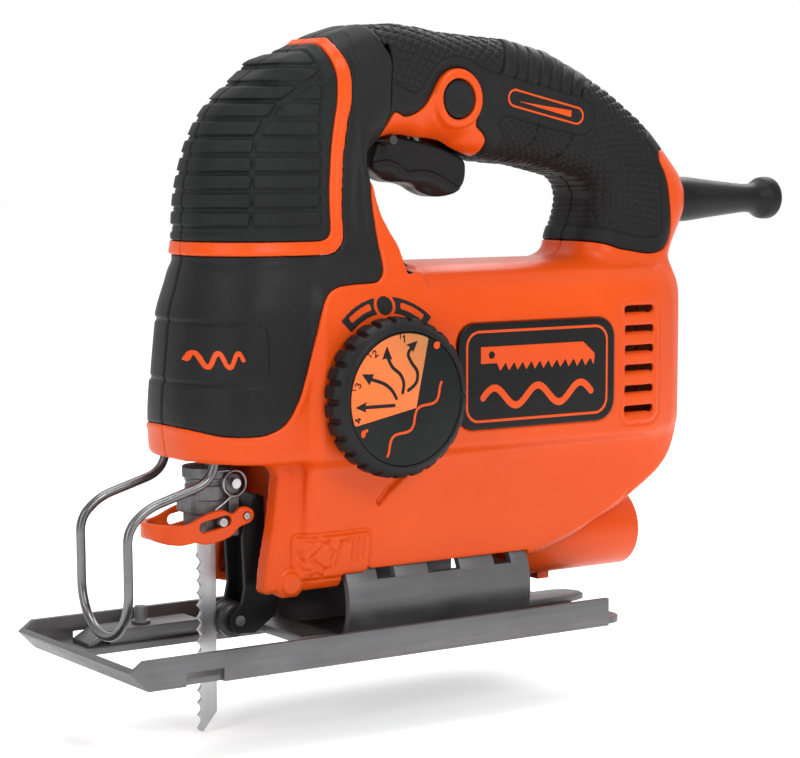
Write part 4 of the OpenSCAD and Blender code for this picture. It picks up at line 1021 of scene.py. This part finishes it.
decal("pointer_marks", (29, -34, 104), (68, -20, 119.6), pointer_region, "black_plastic", lift=0.3)
decal("badge_shell", (75, -34, 67), (143.4, -28.6, 108),
    lambda g: round_rect(g, 76.05, 141.9, 70.1, 105.4, 7), "badge", lift=0.75, depth=0.4,
    nodes=("badge_plate",), slot="badge", h=0.4, edge=0.35)


def badge_lines(g):
    ring = np.abs(round_rect(g, 79.4, 138.4, 72.9, 102.6, 5)) - 0.5
    blade_ = [(85, 97.6), (128, 97.6), (133, 93.5), (133, 91.6)]
    teeth = []
    for i in range(12):
        teeth += [(132.6 - i * 3.6, 89.2), (131.2 - i * 3.6, 91.9)]
    sign = area(g, blade_ + teeth + [(88, 91.9), (85, 91.9)])
    hole = radius(g.x - 89.5, g.z - 94.8) - 1.2
    sign = cut(sign, hole, 0.05)
    return np.minimum(np.minimum(ring, sign), lines(g, [wave(86, 131.5, 80.7, 3.1, 2.5)], 1.25))


decal("badge_marks", (77, -34.2, 70), (141, -31, 104.6), badge_lines, "print_orange", lift=0.95,
    depth=-0.5, h=0.26, edge=0.1)


def pill(g):
    a, b = (110.4, 179.6), (136.6, 173.9)
    ring = np.abs(along(g, [a, b]) - 2.75) - 0.4
    ramp = area(g, [(112, 178.5), (134.5, 175.6), (134.3, 173.4)]) - 0.1
    return np.minimum(ring, ramp)


decal("pill_marks", (105, -20, 169), (142, -13, 185), pill, "print_orange", lift=0.12, h=0.24, edge=0.08)
decal("front_mark", (-15.4, -31, 91), (1, -3, 103), lambda g: lines(g, [wave(-13.4, -1.6, 97, 2.4, 2.5)],
    0.62), "print_orange", lift=-0.14, h=0.26, edge=0.08)

# ------------------------------------------------------------------ blade and its clamp


def make_blade():
    p = [(2.75, 36.5), (3.3, 38), (3.3, 51.5), (-3.9, 51.5), (-3.9, 38), (-3.9, 33)]
    z = 32.0
    while z > -23.5:
        n = 7
        for i in range(n):
            q = i / n
            p.append((-4.4 + 1.45 * math.sin(math.pi * q) ** 0.8, z - 4.0 * q))
        z -= 4.0
    p += [(-4.4, -24.4), (-3.6, -25.3), (-2.4, -25.55), (2.75, -19.4)]
    g = Grid((-5.4, -1.4, -26.6), (4.4, 1.4, 52.4), spacing(0.2))
    f = area(g, p)
    f = meet(f, np.abs(g.y) - 0.68 + 0.22 * (1 - ease(g.x, -4.2, -2.9)) * ease(33 - g.z, 0, 1), 0.1)
    solid("blade_steel", f, g, "plunger", "blade_steel", "blade", slot="blade_steel")


def make_clamp():
    g = Grid((-11, -13, 37), (12.6, 0.6, 63), spacing(0.28))
    x, y, z = g.x, g.y, g.z
    ay = -y
    r = radius(x, y)
    collar = meet(r - 7.35, np.abs(z - 53.5) - 7.4, 1.0)
    collar = collar + groove(z - 55.9, 0.8, 0.35) + groove(z - 50.2, 0.7, 0.3)
    collar = np.minimum(collar, meet(r - 8.15, np.abs(z - 59.5) - 1.9, 0.5))
    snout = meet(meet(np.abs(x + 5.7) - 3.6, ay - 4.4, 1.0), np.abs(z - 49.8) - 3.2, 0.8)
    collar = join(collar, snout, 0.8)
    bore = np.maximum(np.sqrt((x - 3) ** 2 + y * y) - 3.5, 51.9 - z)
    slot_ = np.maximum(np.abs(x + 0.45) - 4.1, ay - 0.75)
    collar = cut(cut(collar, bore, 0.2), slot_, 0.1)
    collar = meet(collar, y, 0.01)
    solid("clamp_collar", collar, g, "plunger", "clamp_steel", "blade_collar", slot="clamp_steel",
        mirror=True)
    block = meet(meet(np.abs(x - 1.3) - 6.25, ay - 7.7, 0.7), np.abs(z - 42.25) - 3.6, 0.6)
    cheek = meet(meet(np.abs(x - 5.55) - 2.0, np.abs(ay - 6.5) - 1.25, 0.4), np.abs(z - 49.5) - 6.4, 0.5)
    cheek = join(cheek, meet(radius(x - 5.2, z - 56) - 3.25, np.abs(ay - 6.5) - 1.25, 0.4), 0.6)
    block = join(block, cheek, 0.8)
    block = cut(block, np.maximum(r - 7.5, 46 - z), 0.2)
    block = cut(block, np.maximum(r - 8.3, 57.4 - z), 0.1)
    block = cut(block, slot_ - 0.05, 0.1)
    block = meet(block, y, 0.01)
    solid("clamp_body", block, g, "plunger", "clamp_steel", "clamp_block", slot="clamp_steel",
        mirror=True)
    for s, side_ in ((-1, "left"), (1, "right")):
        turns = np.linspace(0, 2 * math.pi * 2.55, 90)
        path = [(-2.6, s * 8.7, 60.1), (0.6, s * 8.5, 60.35), (3.6, s * 8.35, 60.2)]
        path += [(5.2 + 4.12 * math.sin(t), s * (8.3 + 0.03 * t), 56 + 4.12 * math.cos(t)) for t in turns]
        e = path[-1]
        path += [(e[0] - 2.6, e[1], e[2] - 2.0), (e[0] - 6.0, e[1], e[2] - 4.2)]
        P = np.array(path)
        put(tube("spring_" + side_, P, 0.42, 10), "plunger", "spring_steel",
            *(("clamp_spring",) if s < 0 else ()), slot="spring_steel" if s < 0 else None)


LOOP_X = -11.3   # centre of the lever's round front


def make_lever():
    g = Grid((-24.4, -12.6, 35.4), (12, 0.6, 50.4), spacing(0.3))
    x, y, z = g.x, g.y, g.z
    line = [(-22.9, 42.4), (-22.2, 39.7), (-20, 38.4), (-16, 37.8), (-13, 38.1), (-10.2, 38.4),
        (-7.1, 37.5), (-2, 38.0), (2.5, 39.5), (5.2, 41.8), (7.6, 42.7), (9.9, 43.6), (10.9, 45.6),
        (10.2, 47.5), (7.8, 48.6), (5.6, 48.4), (3.9, 47.0), (2.2, 46.9), (-0.6, 48.2), (-5, 47.7),
        (-8.6, 46.5), (-12, 45), (-15, 44.3), (-19, 44.3), (-22.1, 44.1)]
    prof = area(g, line, k=4)
    d = g.xy(lambda a, b: np.where(a < LOOP_X, np.sqrt((a - LOOP_X) ** 2 + b * b), np.abs(b)))
    band = np.abs(d - 10.55) - 1.02
    f = meet(prof, band, 0.7)
    slot_ = along(g, [(-7.6, 43.1), (0.6, 44.6)]) - 1.75
    f = cut(f, slot_, 0.3)
    f = cut(f, np.maximum(radius(x - 8.1, z - 45.5) - 1.35, x - 20), 0.2)
    f = meet(f, y, 0.01)
    solid("lever_loop", f, g, "lever", "orange_lever", "release_lever", slot="orange_lever", mirror=True)


make_blade()
make_clamp()
make_lever()
for s, side_ in ((-1, "left"), (1, "right")):
    for i, (px, pz, pr) in enumerate(((8.1, 45.5, 1.25), (-0.6, 44.2, 1.5))):
        # the pin in the lever's slot swings with the lever, and the pivot stays with the plunger
        y0 = (8.2, 9.6)[i]
        prof = rounded([(0, s * y0), (pr, s * y0), (pr, s * 11.9), (0, s * 11.9)], 0.3)
        put(lathe("clamp_pin_%s_%d" % (side_, i), prof, "y", (px, 0, pz), 28), ("plunger", "lever")[i],
            "gear_steel")

# ------------------------------------------------------------------ guard, arm and roller


def make_guard():
    s = rounded([(-6.3, 75), (-6.3, 58.6), (-30.5, 51.6), (-37.4, 45.5), (-37.2, 25.7)], 7.5,
        closed=False, k=10)
    left = [(p[0], -16.0, p[1]) for p in s]
    a = np.linspace(0, math.pi, 25)[1:-1]
    bottom = [(-37.2, -16 * math.cos(q), 25.7 - 16 * math.sin(q)) for q in a]
    path = left + bottom + [(p[0], -p[1], p[2]) for p in left[::-1]]
    P = np.array(path)
    L = np.concatenate([[0], np.cumsum(np.linalg.norm(np.diff(P, axis=0), axis=1))])
    u = np.linspace(0, L[-1], 260)
    put(tube("guard_wire", np.stack([np.interp(u, L, P[:, k]) for k in range(3)], 1), 1.5, 20), "housing",
        "guard_wire", "finger_guard", slot="guard_wire")


make_guard()
rim = rounded([(1.6, -4.3), (4.6, -4.3), (5.95, -3.3), (5.95, -1.6), (4.5, -0.9), (4.5, 0.9), (5.95, 1.6),
    (5.95, 3.3), (4.6, 4.3), (1.6, 4.3)], 0.4)
put(lathe("roller_wheel", rim, "y", (8.0, 0, 10.6), 64), "roller", "roller_black", "guide_roller")

# ------------------------------------------------------------------ trigger, button, cord guard


def make_trigger():
    g = Grid((57.2, -7.8, 144.6), (99.4, 0.6, 169.4), spacing(0.32))
    x, y, z = g.x, g.y, g.z
    ay = -y
    line = [(59.4, 156.4), (60.6, 160.5), (62.4, 164.6), (66, 167.1), (69.3, 167), (84.7, 163.9),
        (93.5, 161), (97.3, 158.8), (98.2, 156), (97.6, 151.6), (95.3, 148.6), (91.7, 147), (88, 146.4),
        (84.2, 146.9), (80.4, 148.4), (77.6, 150.2), (74, 151.2), (67.7, 151.7), (62.6, 153.8)]
    prof = area(g, line, k=4)
    ledge = smooth_line([(56, 157.5), (61.5, 158.3), (66, 158.8), (70.5, 157.4), (73.4, 155.2),
        (77.5, 155.3), (83, 155.0), (89, 152.6), (94, 150.0), (100, 147)], closed=False)
    low = area(g, ledge + [(100, 140), (56, 140)])
    w = 6.2 + 0.85 * (1 - ease(low, -0.9, 0.5))
    f = meet(prof, ay - w, 1.2)
    low2 = meet(prof, ay - 7.0 + 2.4 * ease(-low, 1.8, 6.5) ** 1.5, 1.6)
    f = np.where(low < 0, low2, f)
    f = meet(f, y, 0.01)
    f = cut(f, radius(x - 64.2, z - 165.5) - 1.6, 0.1)
    solid("trigger_shell", f, g, "trigger", "trigger_plastic", "trigger", slot="trigger_plastic",
        mirror=True)


make_trigger()
lb = [(0, -11.5), (6.3, -11.5), (6.3, -18.4), (5.6, -19.0), (4.2, -19.05), (0, -18.75)]
put(lathe("lock_cap", rounded(lb, 0.35), "y", (BUTTON_X, 0, BUTTON_Z), 64), "lock_button",
    "black_plastic", "lock_button", slot="black_plastic")
cg = [(3.5, 180.1), (9.5, 180.1), (9.5, 183.9), (6.6, 184.1), (6.6, 190.6), (8.1, 192.0), (8.15, 199.6),
    (7.9, 203), (6.9, 212), (6.0, 221), (5.3, 228.5), (5.2, 231.6), (5.5, 234), (6.6, 236.2),
    (7.6, 237.8), (7.85, 239.4), (7.85, 241.8), (7.2, 243.2), (4.4, 243.3), (3.5, 242.6)]
put(lathe("cord_sleeve", rounded(cg, 1.0), "x", (0, 0, CORD_Z), 64), "housing", "cord_rubber",
    "cord_guard", slot="cord_rubber")

for node, body, mat, w in (("support_arm", "arm", "arm_paint", 0.5),
        ("shoe_plate", "shoe", "sole_steel", 0.3), ("saddle", "shoe", "sole_steel", 0.3),
        ("shoe_slide", "shoe", "sole_edge", 0.3), ("shoe_stud", "shoe", "sole_steel", 0.35),
        ("bevel_lever", "tail_lever", "sole_steel", 0.35),
        ("dust_tube", "housing", "orange_plastic", 0.5)):
    bevelled(node, body, mat, w)

# ------------------------------------------------------------------ the other CAD nodes keep their shape


def finish_node(node, mat):
    o = NODE[node]
    for s in o.material_slots:
        s.link = "OBJECT"
        s.material = MAT[mat]


for sp in frame["record"]["subparts"]:
    m = sp["material_slot"]
    if m in MAT and sp["node"] in NODE:
        finish_node(sp["node"], m)
finish_node("trigger_pin", "dark_plate")

# ------------------------------------------------------------------ stage

bpy.ops.mesh.primitive_plane_add(size=40.0, location=(0, 0, -0.0262))
floor = bpy.context.object
floor.name = "floor"
fm = Nodes("floor")
fm.set(Base_Color=fm.mix(fm.span(fm.noise(3, 2), 0.4, 0.6), (0.92, 0.92, 0.92), (0.94, 0.94, 0.94)),
    Roughness=0.7, Emission_Color=(1.0, 1.0, 1.0), Emission_Strength=0.34)
floor.data.materials.append(fm.mat)

world = bpy.data.worlds.new("world")
bpy.context.scene.world = world
world.use_nodes = True
wt = world.node_tree
way = wt.nodes.new("ShaderNodeVectorMath")
way.operation = "DOT_PRODUCT"
wt.links.new(wt.nodes.new("ShaderNodeTexCoord").outputs["Generated"], way.inputs[0])
way.inputs[1].default_value = (0.56, 0.82, 0.12)
glow = wt.nodes.new("ShaderNodeMapRange")
wt.links.new(way.outputs["Value"], glow.inputs["Value"])
for socket, value in (("From Min", -0.35), ("From Max", 0.55), ("To Min", 0.30), ("To Max", 1.02)):
    glow.inputs[socket].default_value = value
wt.links.new(glow.outputs["Result"], wt.nodes["Background"].inputs["Strength"])
wt.nodes["Background"].inputs["Color"].default_value = (1, 1, 1, 1)
bpy.context.scene.view_settings.view_transform = "Standard"


def area_light(name, loc, target, size, power, size_y=None):
    d = bpy.data.lights.new(name, "AREA")
    d.energy, d.size = power, size
    if size_y:
        d.shape, d.size_y = "RECTANGLE", size_y
    o = bpy.data.objects.new(name, d)
    bpy.context.scene.collection.objects.link(o)
    o.location = loc
    o.rotation_euler = (Vector(target) - Vector(loc)).to_track_quat("-Z", "Y").to_euler()
    return o


area_light("overhead", (0.0, -0.1, 1.3), (0.07, 0, 0.1), 0.7, 8.0)
area_light("left_box", (-0.95, -0.45, 0.55), (0.03, 0, 0.11), 0.35, 5.0, 0.9)
area_light("key_box", (0.1, -1.15, 0.75), (0.08, 0, 0.10), 0.5, 7.5)
area_light("rear_box", (0.75, 0.45, 0.8), (0.08, 0, 0.13), 0.5, 4.0)

cam_data = bpy.data.cameras.new("camera")
cam_data.lens = 106.364
cam_data.sensor_width = 36.0
cam = bpy.data.objects.new("camera", cam_data)
bpy.context.scene.collection.objects.link(cam)
cam.location = (-0.373624, -0.657998, 0.162547)
cam.rotation_euler = (math.radians(90 - 5.5616), 0, math.radians(-34.295))
bpy.context.scene.camera = cam
